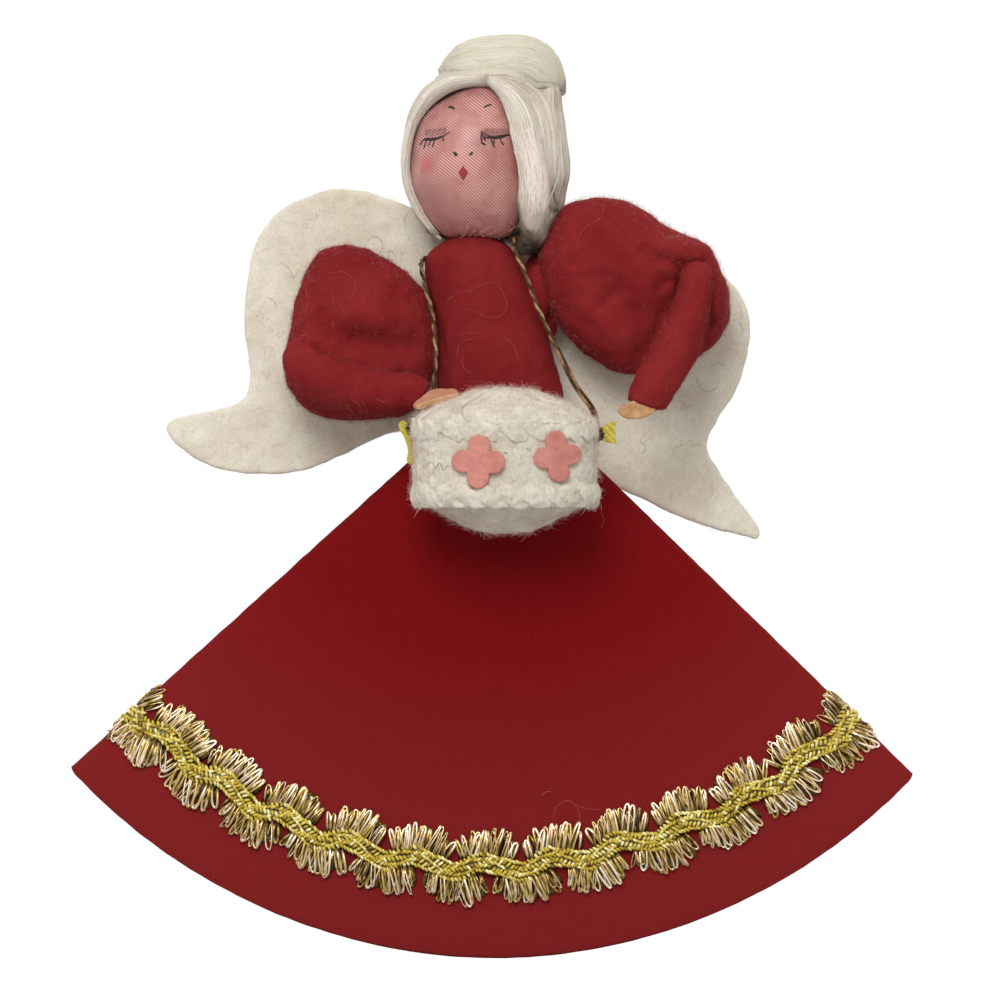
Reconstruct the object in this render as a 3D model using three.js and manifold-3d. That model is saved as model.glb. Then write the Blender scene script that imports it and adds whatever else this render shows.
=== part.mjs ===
// A felt Christmas angel that plays a little drum, in millimetres. +Z is up and the figure faces -Y.
// The origin is the middle of the flat underside of the body, at the top of the hollow in the skirt,
// where the tip of a tree or a stand carries the figure. Left and right are the figure's own, and the
// figure's left is +X.
import * as THREE from "three";
import { mergeVertices } from "three/addons/utils/BufferGeometryUtils.js";
import Module from "manifold-3d";

const wasm = await Module();
wasm.setup();

// Driving dimensions
const degree = Math.PI / 180;
const gap = 0.35; // air left between two pieces that touch
const overrun = 6; // how far a cutting solid passes what it cuts
const plainFullness = 2; // of a round form that is a plain ellipsoid

const torso = {
  height: 50.7,
  waistHalfWidth: 12.4,
  waistHalfDepth: 8,
  shoulderHalfWidth: 9,
  shoulderHalfDepth: 7.4,
  lean: -4.6, // how far the shoulders sit to the right of the waist
  leanFrom: 20, // height at which the lean starts
  leanTo: 53.5, // height at which it would be complete
  felt: 1.2,
};

const skirt = {
  felt: 1.2,
  slant: 110, // from the point of the cone to the hem
  apexHeight: 24.5, // of that point, above the origin
  halfAngle: 47 * degree,
  hemHalfDepth: 10.2,
  hemCrease: 5, // how deep the felt doubles up inside each side crease at the hem
};

const liner = {
  thickness: 0.5,
  waistSetback: 9, // short of the skirt's top edge
  hemSetback: 5, // short of the hem
  clear: 0.6, // inside the felt
};

const braid = {
  toHem: 16.2, // from the middle of the braid to the hem
  halfWidth: 8,
  waist: 3.4, // half the width of the braid where two scallops meet
  wave: 1.1, // how far the plaited ridge swings up and down
  thickness: 0.9,
  ridge: 0.8, // the plaited ridge stands this much higher
  creaseReach: 1.6, // how far the braid stands out past each side crease
  clear: 0.4, // from the felt
  scallops: 24, // an even number, so that a scallop starts at each crease
};

const head = {
  halfWidth: 12.4,
  halfDepth: 12.4,
  halfHeight: 14.4,
  toRight: 1.1, // from the middle of the shoulders
  forward: 0.5,
  tilt: 6 * degree,
  satin: 0.45,
  neckHole: 4, // radius of the opening under the satin
};

const neckPeg = {
  radius: 2,
  intoHead: 13,
  intoBody: 14,
};

const hair = {
  sideThickness: 3.8,
  backThickness: 2.1,
  topThickness: 2.6,
  toLeft: 2.8, // from the middle of the head
  toBack: 3,
  up: 0.9,
  parting: 2.9, // from the middle of the head
  napeClear: 2.2, // room left over the shoulders for the neck strap
  backSplit: 4.5, // where the back floss starts, behind the middle of the head
  puffDepthShare: 2, // the room for the left puff is this much deeper than the puff
};

// The roll of floss that falls down the left side of the face, placed from the middle of the head
const lock = {
  halfWidth: 6.2,
  halfDepth: 8.5,
  halfHeight: 16,
  toLeft: 12.6,
  toBack: 2.6,
  up: 2,
};

const bun = {
  halfWidth: 12.3,
  halfDepth: 10.2,
  halfHeight: 7.7,
  toLeft: 3.2, // from the middle of the hair
  toBack: 1.6,
  sink: 1.2, // of its middle, below the top of the hair
  fullness: 2.5,
};

const wing = {
  thickness: 1.6,
  rightSpan: 63.5,
  leftSpan: 49.4,
  rise: 60, // of the highest point, above the origin
  fall: 6.5, // of the lowest point, below the origin
  flatHalfWidth: 13, // the flat middle, glued to the torso
  sweep: 6 * degree,
};

const drum = {
  halfWidth: 17.5,
  halfDepth: 12.2,
  bandHeight: 13.5,
  bandTop: 14.4, // height of the upper seam above the origin
  topRise: 7.6,
  bottomRise: 6.3,
  felt: 1.1,
  toLeft: 0.9,
  stitch: 1.05, // radius of the whip stitching along each seam
  stitches: 20,
  stitchDipShare: 0.72, // of the stitch's radius, left between two stitches
};

const flower = {
  petals: 4,
  reach: 4.8, // from the middle to the tip of a petal
  waist: 2.2, // from the middle to the notch between petals
  thickness: 1,
  leftOffset: 10.2, // from the middle of the drum
  rightOffset: 5,
  leftUp: 1.6, // from the middle of the band
  rightUp: 0.5,
  leftTurn: 4 * degree,
  rightTurn: -14 * degree,
};

// The yellow raffia tab on each side of the drum, and the knot of the strap above it
const tab = {
  behind: 4, // the middle of the drum
  drop: 1.6, // from the upper seam down to the knot side of the tab
  height: 7,
  width: 2,
  thickness: 0.8,
  lean: 2.4, // how far the right tab leans out at its top
  stem: 0.7, // radius of the left tab at the drum
  flare: 1.5, // radius of the left tab at its free end
  reach: 3.2, // length of the left tab
};

const knot = { radius: 0.8 };

const strap = {
  radius: 0.5,
  step: 2.4, // length of one facet along the cord
};

const sleeve = {
  elbowRadius: 4.9,
  swell: 0.3, // how much fuller it is halfway
  wristRadius: 3.2,
};

const hand = {
  length: 8.6,
  width: 4.8,
  skin: 0.9,
  lining: 0.7,
  tuck: 2.4, // how much of it is inside the sleeve
  roll: 24 * degree, // its palm side turns this far forward
};

const wire = {
  radius: 0.6,
  intoBody: 6,
  endClear: 1.5, // short of the hand, or of the elbow
};

const arms = {
  left: {
    side: 1,
    puff: { halfLength: 19, halfDepth: 9.6, halfWidth: 15.5, droop: 35 * degree, fullness: 2.2 },
    puffOut: 13.4, // from the side of the torso at the waist to the middle of the puff
    puffUp: 41.6,
    puffForward: 0.6,
    elbow: { out: 13.2, up: 3.2, forward: 10.6 }, // from the middle of the puff
    wrist: { out: 9.2, up: -3.2, behind: 5 }, // from the drum's side, top and middle
    palmShares: { out: -0.86, forward: 0.3, up: -0.42 }, // the way that the hand points
    axis: [0, -1, 0], // of the bend at the elbow
    swing: 45 * degree,
    rooms: 3, // places along the swing where the puff gives way
  },
  right: {
    side: -1,
    puff: { halfLength: 16.8, halfDepth: 9.6, halfWidth: 14.2, droop: 84 * degree, fullness: 2.2 },
    puffOut: 14.2,
    puffUp: 32.5,
    puffForward: 0.6,
    elbow: { out: 10, up: -5.2, forward: 7.4 },
    wrist: { out: -2, up: -0.5, behind: 3.4 },
    palmShares: { out: -0.97, forward: 0.2, up: 0.1 },
    axis: [0, 0, -1],
    swing: 40 * degree,
    rooms: 0,
  },
};

// Mesh steps
const steps = {
  round: 20,
  half: 10,
  wire: 8,
  panel: 16,
  skirtRows: 6,
  scallop: 5,
  spline: 2,
  petal: 8,
  stitch: 6,
};

// Colours and finishes
const finish = (color, roughness, metalness = 0) =>
  new THREE.MeshStandardMaterial({ color, roughness, metalness });
const redFelt = finish(0x861c21, 0.95);
const creamFelt = finish(0xd4caba, 0.95);
const whiteFelt = finish(0xdedacc, 0.95);
const whiteThread = finish(0xe2dccc, 0.9);
const pinkFelt = finish(0xde9286, 0.9);
const satin = finish(0xc8928c, 0.45);
const floss = finish(0xdcd4c4, 0.4);
const cotton = finish(0xeeeae0, 1);
const card = finish(0xa89a80, 0.9);
const goldBraid = finish(0xc9a63a, 0.35, 0.7);
const birch = finish(0xcaa678, 0.7);
const steel = finish(0x8d8d90, 0.4, 0.9);
const skin = finish(0xe2ac76, 0.4);
const pinkSkin = finish(0xd7967d, 0.6);
const brownCord = finish(0x7a583e, 0.6);
const raffia = finish(0xcebe32, 0.4);

// Solids
const v = (x, y, z) => new THREE.Vector3(x, y, z);
const mix = (from, to, share) => from + (to - from) * share;
const cut = (body, ...tools) => tools.reduce((left, tool) => left.subtract(tool), body);
const join = (first, ...others) => others.reduce((all, other) => all.add(other), first);

// A closed three.js geometry as a solid that can be joined and cut, turned the right way out
function solidOf(geometry) {
  const bare = geometry.index ? geometry.toNonIndexed() : geometry;
  const surface = new THREE.BufferGeometry().setAttribute("position", bare.getAttribute("position"));
  const merged = mergeVertices(surface);
  const at = merged.getAttribute("position");
  const faces = [];
  let volume = 0;
  const [a, b, c] = [v(), v(), v()];
  for (let i = 0; i < merged.index.count; i += 3) {
    const face = [0, 1, 2].map((corner) => merged.index.getX(i + corner));
    if (new Set(face).size === face.length) {
      [a, b, c].forEach((corner, j) => corner.fromBufferAttribute(at, face[j]));
      volume += a.dot(b.cross(c));
      faces.push(face);
    }
  }
  const outward = volume > 0 ? faces : faces.map((face) => face.reverse());
  const mesh = { numProp: 3, vertProperties: at.array, triVerts: new Uint32Array(outward.flat()) };
  return new wasm.Manifold(new wasm.Mesh(mesh));
}

function geometryOf(solid) {
  const mesh = solid.getMesh();
  const geometry = new THREE.BufferGeometry();
  geometry.setAttribute("position", new THREE.BufferAttribute(mesh.vertProperties, mesh.numProp));
  geometry.setIndex(new THREE.BufferAttribute(mesh.triVerts, 1));
  geometry.computeVertexNormals();
  return geometry;
}

// A stuffed round form. More fullness than a plain ellipsoid's makes it boxier
function roundForm(semi, centre, turn = new THREE.Euler(), fullness = plainFullness, columns = steps.round) {
  const geometry = new THREE.SphereGeometry(1, columns, columns / 2).rotateX(Math.PI / 2);
  const at = geometry.getAttribute("position");
  const point = v();
  for (let i = 0; i < at.count; i += 1) {
    point.fromBufferAttribute(at, i);
    const sum = [point.x, point.y, point.z].reduce((all, one) => all + Math.abs(one) ** fullness, 0);
    point.multiplyScalar(sum ** (-1 / fullness)).multiply(semi).applyEuler(turn).add(centre);
    at.setXYZ(i, point.x, point.y, point.z);
  }
  return solidOf(geometry);
}

function block(low, high) {
  const size = high.clone().sub(low);
  const middle = high.clone().add(low).multiplyScalar(1 / 2);
  return solidOf(new THREE.BoxGeometry(size.x, size.y, size.z).translate(middle.x, middle.y, middle.z));
}

// A turned shape that stands on one point and reaches for another. The profile is radius and distance
function turned(profile, from, to, sides = steps.half) {
  const along = to.clone().sub(from).normalize();
  const outline = profile.map(([radius, far]) => new THREE.Vector2(radius, far));
  const geometry = new THREE.LatheGeometry(outline, sides);
  geometry.applyQuaternion(new THREE.Quaternion().setFromUnitVectors(v(0, 1, 0), along));
  return solidOf(geometry.translate(from.x, from.y, from.z));
}

function rod(from, to, radius, sides = steps.wire) {
  const length = from.distanceTo(to);
  return turned([[0, 0], [radius, 0], [radius, length], [0, length]], from, to, sides);
}

// A band that closes on itself: sections is a loop of outlines that all have the same number of points
function loopSolid(sections) {
  const across = sections[0].length;
  const index = [];
  sections.forEach((section, i) => {
    const next = (i + 1) % sections.length;
    section.forEach((point, j) => {
      const [a, b] = [i * across + j, i * across + ((j + 1) % across)];
      const [c, d] = [next * across + j, next * across + ((j + 1) % across)];
      index.push(a, b, d, a, d, c);
    });
  });
  return solidOf(new THREE.BufferGeometry().setFromPoints(sections.flat()).setIndex(index));
}

const loop = (count, section) => loopSolid(Array.from({ length: count }, (_, i) => section(i)));

// A cord through a list of points chosen by hand
function cord(points) {
  const path = new THREE.CatmullRomCurve3(points.map(([x, y, z]) => v(x, y, z)));
  const corners = Array.from({ length: steps.wire }, (_, i) => {
    const turn = (2 * Math.PI * i) / steps.wire;
    return new THREE.Vector2(strap.radius * Math.cos(turn), strap.radius * Math.sin(turn));
  });
  const count = Math.ceil(path.getLength() / strap.step);
  return solidOf(new THREE.ExtrudeGeometry(new THREE.Shape(corners), { steps: count, extrudePath: path }));
}

// Scene graph
const angel = new THREE.Group();

function group(centre = v(0, 0, 0)) {
  const made = new THREE.Group();
  made.position.copy(centre);
  angel.add(made);
  return made;
}

function piece(parent, name, solid, material) {
  const mesh = new THREE.Mesh(geometryOf(solid), material.clone());
  mesh.name = name;
  parent.add(mesh);
}

// A stack of level ovals, from the first to the last. Each is its height, half width, half depth and middle
function ovalStack(ovals) {
  const columns = steps.round;
  const points = ovals.flatMap(([z, wide, deep, middle = 0]) =>
    Array.from({ length: columns }, (_, i) => {
      const turn = (2 * Math.PI * i) / columns;
      return v(middle + wide * Math.cos(turn), deep * Math.sin(turn), z);
    }),
  );
  const index = [];
  for (let i = 0; i + 1 < ovals.length; i += 1) {
    for (let j = 0; j < columns; j += 1) {
      const [a, b] = [i * columns + j, i * columns + ((j + 1) % columns)];
      index.push(a, b, b + columns, a, b + columns, a + columns);
    }
  }
  return solidOf(new THREE.BufferGeometry().setFromPoints(points).setIndex(index));
}

// Torso: a felt tube over pressed cotton, wider at the waist and rounded at the top.
// Each share is the height, then how near the waist's size it is, then how open the rounded top is
const torsoShares = [
  [0, 1, 1],
  [0.3, 1, 1],
  [0.44, 0.97, 1],
  [0.63, 0.47, 1],
  [0.78, 0.15, 1],
  [0.9, 0, 0.98],
  [0.95, 0, 0.85],
  [0.98, 0, 0.62],
  [0.995, 0, 0.3],
  [1, 0, 0],
];

function torsoForm(inset, bottom = 0) {
  const lean = (z) => torso.lean * THREE.MathUtils.smoothstep(z, torso.leanFrom, torso.leanTo);
  const ovals = torsoShares.map(([height, waist, open]) => {
    const z = height * (torso.height - inset);
    const wide = mix(torso.shoulderHalfWidth, torso.waistHalfWidth, waist) - inset;
    const deep = mix(torso.shoulderHalfDepth, torso.waistHalfDepth, waist) - inset;
    return [z, wide * open, deep * open, lean(z)];
  });
  const foot = bottom < 0 ? [[bottom, ...ovals[0].slice(1)]] : [];
  return ovalStack([[bottom, 0, 0], ...foot, ...ovals]);
}

// Skirt: a felt half circle, rolled into a cone and pressed nearly flat, with a sharp crease down each side
const waistSlant = (torso.waistHalfWidth + gap + skirt.felt) / Math.sin(skirt.halfAngle);
const waistHalfDepth = torso.waistHalfDepth + gap + skirt.felt;
const downSkirt = (slant) => THREE.MathUtils.clamp((slant - waistSlant) / (skirt.slant - waistSlant), 0, 1);

// A point of the pressed cone: round is the way round it, inset how far inside the felt's outer face
function skirtPoint(slant, round, inset, creaseInset) {
  const down = downSkirt(slant);
  const halfDepth = mix(waistHalfDepth, skirt.hemHalfDepth, down) - inset;
  const sharpness = mix(1, 2, down);
  const bulge = halfDepth * Math.abs(Math.sin(round)) ** sharpness;
  const sideways = Math.sin(skirt.halfAngle) * Math.cos(round);
  return v(
    slant * sideways - Math.cos(round) * creaseInset,
    -Math.sign(Math.sin(round)) * bulge,
    skirt.apexHeight - slant * Math.sqrt(1 - sideways * sideways),
  );
}

function pressedCone(top, hem, outside, inside) {
  const rows = Array.from({ length: steps.skirtRows + 1 }, (_, i) => mix(top, hem, i / steps.skirtRows));
  const creaseShare = skirt.hemCrease / skirt.felt;
  const wall = (round, inset) =>
    rows.map((slant) => skirtPoint(slant, round, inset, inset * mix(1, creaseShare, downSkirt(slant))));
  const columns = 2 * steps.panel;
  return loop(columns, (i) => {
    const round = (2 * Math.PI * i) / columns;
    return [...wall(round, outside), ...wall(round, inside).reverse()];
  });
}

// The way round the pressed cone at an even share of its edge, along the front and then the back
function roundAt(along) {
  const onBack = along >= 1 / 2;
  const share = onBack ? 2 * along - 1 : 2 * along;
  const sideways = Math.sin(skirt.halfAngle * (1 - 2 * share)) / Math.sin(skirt.halfAngle);
  const round = Math.acos(THREE.MathUtils.clamp(sideways, -1, 1));
  return onBack ? Math.PI + round : round;
}

// Braid: two rows of scallops, half a scallop out of step, with a plaited ridge between them
function braidSolid() {
  const middle = skirt.slant - braid.toHem;
  const count = braid.scallops * steps.scallop;
  return loop(count, (i) => {
    const round = roundAt(i / count);
    const turn = (Math.PI * braid.scallops * i) / count;
    const lobe = (phase) => Math.sqrt(Math.abs(Math.sin(turn + phase)));
    const scallop = (phase) => mix(braid.waist, braid.halfWidth, lobe(phase));
    const up = scallop(0);
    const down = scallop(Math.PI / 2);
    const wave = braid.wave * Math.cos(2 * turn);
    const at = (slant, rise) => {
      const past = (rise / braid.thickness) * braid.creaseReach;
      return skirtPoint(slant, round, -braid.clear - rise, -braid.clear - past);
    };
    return [
      at(middle - up, 0),
      at(middle - up, braid.thickness),
      at(middle + wave, braid.thickness + braid.ridge),
      at(middle + down, braid.thickness),
      at(middle + down, 0),
    ];
  });
}

const drumLow = drum.bandTop - drum.bandHeight - drum.bottomRise;
const skirtFront = skirtPoint(skirt.apexHeight - drumLow, Math.PI / 2, 0, 0).y;
const drumCentre = v(drum.toLeft, skirtFront - gap - drum.halfDepth, drum.bandTop - drum.bandHeight / 2);

// Dress
const dress = group();
piece(dress, "skirt", pressedCone(waistSlant, skirt.slant, 0, skirt.felt), redFelt);
const linerOut = skirt.felt + liner.clear;
const linerTop = waistSlant + liner.waistSetback;
const linerHem = skirt.slant - liner.hemSetback;
piece(dress, "skirt_liner", pressedCone(linerTop, linerHem, linerOut, linerOut + liner.thickness), card);
piece(dress, "hem_braid", braidSolid(), goldBraid);

// Where the wire of an arm starts in the body, where it bends, and where the hand leaves the sleeve
function armPoints(arm, turn = 0) {
  const { side } = arm;
  const puffCentre = v(side * (torso.waistHalfWidth + arm.puffOut), -arm.puffForward, arm.puffUp);
  const elbow = puffCentre.clone().add(v(side * arm.elbow.out, -arm.elbow.forward, arm.elbow.up));
  const straight = v(
    drum.toLeft + side * (drum.halfWidth + arm.wrist.out),
    drumCentre.y + arm.wrist.behind,
    drum.bandTop + drum.topRise + arm.wrist.up,
  );
  const axis = v(...arm.axis);
  const armLine = straight.sub(elbow).applyAxisAngle(axis, turn);
  const wrist = armLine.clone().add(elbow);
  const { out, forward, up } = arm.palmShares;
  const palm = v(side * out, -forward, up).normalize().applyAxisAngle(axis, turn);
  const shoulder = v(torso.lean + side * (torso.shoulderHalfWidth - wire.intoBody), 0, puffCentre.z);
  const toShoulder = shoulder.clone().sub(elbow);
  const spread = Math.min(toShoulder.angleTo(armLine), Math.PI / 2);
  const clear = (sleeve.elbowRadius + sleeve.swell + wire.radius + gap) / Math.sin(spread);
  const wireEnd = elbow.clone().add(toShoulder.setLength(clear));
  return { puffCentre, elbow, wrist, palm, shoulder, wireEnd };
}

// Body: the felt cover, the pressed cotton inside it and the peg that carries the head
const pegAt = (z) => v(torso.lean, 0, z);
const pegFoot = torso.height - neckPeg.intoBody;
const pegTop = torso.height + neckPeg.intoHead;
const pegHole = rod(pegAt(pegFoot - gap), pegAt(pegTop + gap), neckPeg.radius + gap, steps.half);
const wireHoles = Object.values(arms).map((arm) => {
  const { shoulder, wireEnd } = armPoints(arm);
  const extra = shoulder.clone().sub(wireEnd).setLength(gap);
  return rod(shoulder.clone().add(extra), wireEnd.clone().sub(extra), wire.radius + gap);
});

const body = group();
const torsoHollow = torsoForm(torso.felt, -overrun);
piece(body, "torso_cover", cut(torsoForm(0), torsoHollow, pegHole, ...wireHoles), redFelt);
piece(body, "torso_core", cut(torsoForm(torso.felt + gap), pegHole, ...wireHoles), cotton);
piece(body, "neck_peg", rod(pegAt(pegFoot), pegAt(pegTop), neckPeg.radius, steps.half), birch);

// Arms: a gathered puff sewn to the shoulder, and a wired forearm that bends at the elbow
function puffForm(arm, grow, depthShare = 1, origin = v(0, 0, 0)) {
  const { halfLength, halfDepth, halfWidth, droop, fullness } = arm.puff;
  const semi = v(halfLength + grow, (halfDepth + grow) * depthShare, halfWidth + grow);
  const centre = armPoints(arm).puffCentre.sub(origin);
  return roundForm(semi, centre, new THREE.Euler(0, arm.side * droop, 0), fullness);
}

function forearmForm(arm, grow, turn = 0) {
  const { elbow, wrist } = armPoints(arm, turn);
  const length = elbow.distanceTo(wrist);
  const ball = sleeve.elbowRadius + grow;
  const rounded = Array.from({ length: steps.half / 2 + 1 }, (_, i) => {
    const down = (Math.PI * i) / steps.half;
    return [ball * Math.sin(down), -ball * Math.cos(down)];
  });
  const halfway = mix(sleeve.elbowRadius, sleeve.wristRadius, 1 / 2) + sleeve.swell + grow;
  const end = length + grow;
  const profile = [...rounded, [halfway, length / 2], [sleeve.wristRadius + grow, end], [0, end]];
  return turned(profile, elbow, wrist, 2 * steps.wire);
}

// A flat mitten, as shares of the hand's length and width
const mittenShares = [
  [0, -0.36],
  [0.4, -0.5],
  [0.8, -0.44],
  [1, 0],
  [0.8, 0.44],
  [0.4, 0.5],
  [0, 0.36],
];

// One layer of the hand, between two heights over its middle
function mitten(arm, low, high, grow = 0) {
  const { elbow, wrist, palm } = armPoints(arm);
  const outline = mittenShares.map(([along, across]) => {
    const far = mix(-grow, hand.length + grow, along) - hand.tuck;
    return new THREE.Vector2(far, across * (hand.width + 2 * grow));
  });
  const shape = new THREE.Shape();
  shape.moveTo(outline[0].x, outline[0].y);
  shape.splineThru(outline.slice(1));
  shape.closePath();
  const depth = high - low + 2 * grow;
  const options = { depth, bevelEnabled: false, curveSegments: steps.spline };
  const geometry = new THREE.ExtrudeGeometry(shape, options).translate(0, 0, low - grow);
  const up = v(0, -Math.sin(hand.roll), Math.cos(hand.roll));
  up.addScaledVector(palm, -up.dot(palm)).normalize();
  geometry.applyMatrix4(new THREE.Matrix4().makeBasis(palm, up.clone().cross(palm), up));
  const seat = wrist.clone().add(elbow.clone().sub(wrist).setLength(hand.tuck / 2));
  return solidOf(geometry.translate(seat.x, seat.y, seat.z));
}

function buildArm(name, arm) {
  const made = group();
  const { elbow, wrist, shoulder, wireEnd } = armPoints(arm);
  const turns = Array.from({ length: arm.rooms + 1 }, (_, i) => (arm.swing * i) / Math.max(arm.rooms, 1));
  const room = turns.map((turn) => forearmForm(arm, gap, turn));
  const puff = cut(puffForm(arm, 0), torsoForm(-gap), ...wireHoles, ...room);
  piece(made, `${name}_puff_sleeve`, puff, redFelt);
  piece(made, `${name}_shoulder_wire`, rod(shoulder, wireEnd, wire.radius), steel);

  const toWrist = wrist.clone().sub(elbow);
  const wireReach = toWrist.length() - hand.tuck * 2 - wire.endClear;
  const wireStop = elbow.clone().add(toWrist.clone().setLength(wireReach));
  const bore = rod(elbow, wrist, wire.radius + gap);
  const top = (hand.skin + gap + hand.lining) / 2;
  const pocket = mitten(arm, -top, top, gap);
  const forearm = cut(forearmForm(arm, 0), bore, pocket);
  piece(made, `${name}_forearm_sleeve`, forearm, redFelt);
  const wireStart = elbow.clone().add(toWrist.clone().setLength(gap));
  piece(made, `${name}_forearm_wire`, rod(wireStart, wireStop, wire.radius), steel);
  piece(made, `${name}_hand`, mitten(arm, top - hand.skin, top), skin);
  piece(made, `${name}_hand_lining`, mitten(arm, -top, hand.lining - top), pinkSkin);
}

Object.entries(arms).forEach(([name, arm]) => buildArm(name, arm));

// Head: a pressed cotton ball in a satin cover, with its floss hair laid over it
const headCentre = v(torso.lean - head.toRight, -head.forward, torso.height + gap + head.halfHeight);
const headGroup = group(headCentre);
const fromHead = (point) => point.clone().sub(headCentre);
const origin = v(0, 0, 0);
const headForm = (inset) => {
  const semi = v(head.halfWidth - inset, head.halfDepth - inset, head.halfHeight - inset);
  return roundForm(semi, origin, new THREE.Euler(0, head.tilt, 0));
};
const neckFoot = fromHead(pegAt(pegFoot));
const headPegHole = rod(neckFoot, fromHead(pegAt(pegTop + gap)), neckPeg.radius + gap, steps.half);
const neckOpening = rod(neckFoot, fromHead(pegAt(headCentre.z)), head.neckHole, steps.half);
piece(headGroup, "head_ball", cut(headForm(head.satin + gap), headPegHole), cotton);
piece(headGroup, "face_satin", cut(headForm(0), headForm(head.satin), neckOpening), satin);

// The outline of the bare face, seen from the front, as shares of the head's half width and half height
const faceWindowShares = [
  [0.22, 1.3],
  [-0.22, 0.89],
  [-0.68, 0.63],
  [-0.85, 0.32],
  [-0.95, -0.07],
  [-0.92, -0.38],
  [-1.6, -0.5],
  [-1.6, -1.6],
  [0.78, -1.6],
  [0.78, -0.85],
  [0.8, -0.38],
  [0.7, 0.02],
  [0.64, 0.32],
  [0.56, 0.62],
  [0.35, 0.91],
];

function faceWindow() {
  const corners = faceWindowShares.map(
    ([across, up]) => new THREE.Vector2(across * head.halfWidth, up * head.halfHeight),
  );
  const options = { depth: head.halfDepth + hair.sideThickness + overrun, bevelEnabled: false };
  return solidOf(new THREE.ExtrudeGeometry(new THREE.Shape(corners), options).rotateX(Math.PI / 2));
}

const hairCentre = v(hair.toLeft, hair.toBack, hair.up);
const hairSemi = v(
  head.halfWidth + hair.sideThickness,
  head.halfDepth + hair.backThickness,
  head.halfHeight + hair.topThickness,
);
const farHair = hairSemi.clone().addScalar(lock.toLeft + overrun);
const napeHeight = torso.height + hair.napeClear - headCentre.z;
const underNape = block(farHair.clone().negate(), farHair.clone().setZ(napeHeight));
const puffInFront = puffForm(arms.left, gap, hair.puffDepthShare, headCentre);

function hairPiece(low, high, ...more) {
  const region = block(farHair.clone().negate().max(low), farHair.clone().min(high));
  const mass = join(roundForm(hairSemi, hairCentre), ...more).intersect(region);
  return cut(mass, headForm(-gap), faceWindow(), underNape, puffInFront);
}

const far = Infinity;
const partLeft = hair.parting + gap / 2;
const partRight = hair.parting - gap / 2;
const backStart = hair.backSplit;
const lockSemi = v(lock.halfWidth, lock.halfDepth, lock.halfHeight);
const lockCentre = v(lock.toLeft, lock.toBack, lock.up);
const lockForm = roundForm(lockSemi, lockCentre);
piece(headGroup, "hair_right", hairPiece(v(-far, -far, -far), v(partRight, backStart, far)), floss);
piece(headGroup, "hair_left", hairPiece(v(partLeft, -far, -far), v(far, backStart, far), lockForm), floss);
piece(headGroup, "hair_back", hairPiece(v(-far, backStart + gap, -far), v(far, far, far), lockForm), floss);

const bunCentre = hairCentre.clone().add(v(bun.toLeft, bun.toBack, hairSemi.z - bun.sink));
const bunSemi = v(bun.halfWidth, bun.halfDepth, bun.halfHeight);
const bunForm = roundForm(bunSemi, bunCentre, new THREE.Euler(0, head.tilt, 0), bun.fullness);
const underBun = [roundForm(hairSemi.clone().addScalar(gap), hairCentre), headForm(-gap)];
const lockTool = roundForm(lockSemi.clone().addScalar(gap), lockCentre);
piece(headGroup, "hair_bun", cut(bunForm, ...underBun, lockTool), floss);

// Wings: one hand-cut piece of felt, with a flat middle behind the torso and both sides swept back.
// Each share is of that side's span and of the rise above the origin, or of the fall below it
const rightWingShares = [
  [0.16, 0.84],
  [0.215, 0.905],
  [0.32, 0.963],
  [0.42, 0.992],
  [0.5, 1],
  [0.59, 0.97],
  [0.66, 0.935],
  [0.74, 0.815],
  [0.765, 0.63],
  [0.755, 0.45],
  [0.757, 0.355],
  [0.8, 0.315],
  [0.96, 0.275],
  [1, 0.245],
  [0.96, 0.18],
  [0.85, 0.112],
  [0.7, 0.1],
  [0.59, 0.108],
  [0.475, 0.155],
  [0.37, 0.208],
  [0.25, 0.235],
  [0.13, 0.2],
];
const leftWingShares = [
  [0.2, 0.155],
  [0.375, 0.077],
  [0.56, 0.013],
  [0.63, -0.17],
  [0.78, -0.62],
  [0.97, -1],
  [1, -0.85],
  [0.985, -0.5],
  [0.91, 0.028],
  [0.84, 0.12],
  [0.8, 0.172],
  [0.84, 0.265],
  [0.91, 0.36],
  [0.95, 0.455],
  [0.97, 0.55],
  [0.945, 0.645],
  [0.885, 0.71],
  [0.8, 0.765],
  [0.69, 0.795],
  [0.51, 0.827],
  [0.38, 0.85],
  [0.14, 0.8],
];

const wingGroup = group(v(0, torso.waistHalfDepth + gap, 0));

function wingPlate() {
  const side = (shares, span) =>
    shares.map(([out, up]) => new THREE.Vector2(out * span, up * (up < 0 ? wing.fall : wing.rise)));
  const right = side(rightWingShares, -wing.rightSpan);
  const left = side(leftWingShares, wing.leftSpan);
  const shape = new THREE.Shape();
  shape.moveTo(right[0].x, right[0].y);
  shape.splineThru(right.slice(1));
  shape.lineTo(left[0].x, left[0].y);
  shape.splineThru(left.slice(1));
  shape.closePath();
  const options = { depth: wing.thickness, bevelEnabled: false, curveSegments: steps.spline };
  const flat = new THREE.ExtrudeGeometry(shape, options).rotateX(Math.PI / 2);
  return solidOf(flat.translate(0, wing.thickness, 0));
}

// The part of the plate beyond the flat middle on one side, swept back
function sweptSide(plate, side) {
  const tall = wing.rise + overrun;
  const wide = wing.rightSpan + wing.leftSpan;
  const [inner, outer] = [side * wing.flatHalfWidth, side * wide];
  const low = v(Math.min(inner, outer), -overrun, -tall);
  const high = v(Math.max(inner, outer), wing.thickness + overrun, tall);
  const geometry = geometryOf(plate.intersect(block(low, high)));
  const at = geometry.getAttribute("position");
  for (let i = 0; i < at.count; i += 1) {
    const beyond = Math.max(0, side * at.getX(i) - wing.flatHalfWidth);
    at.setY(i, at.getY(i) + beyond * Math.tan(wing.sweep));
  }
  return solidOf(geometry);
}

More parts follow.
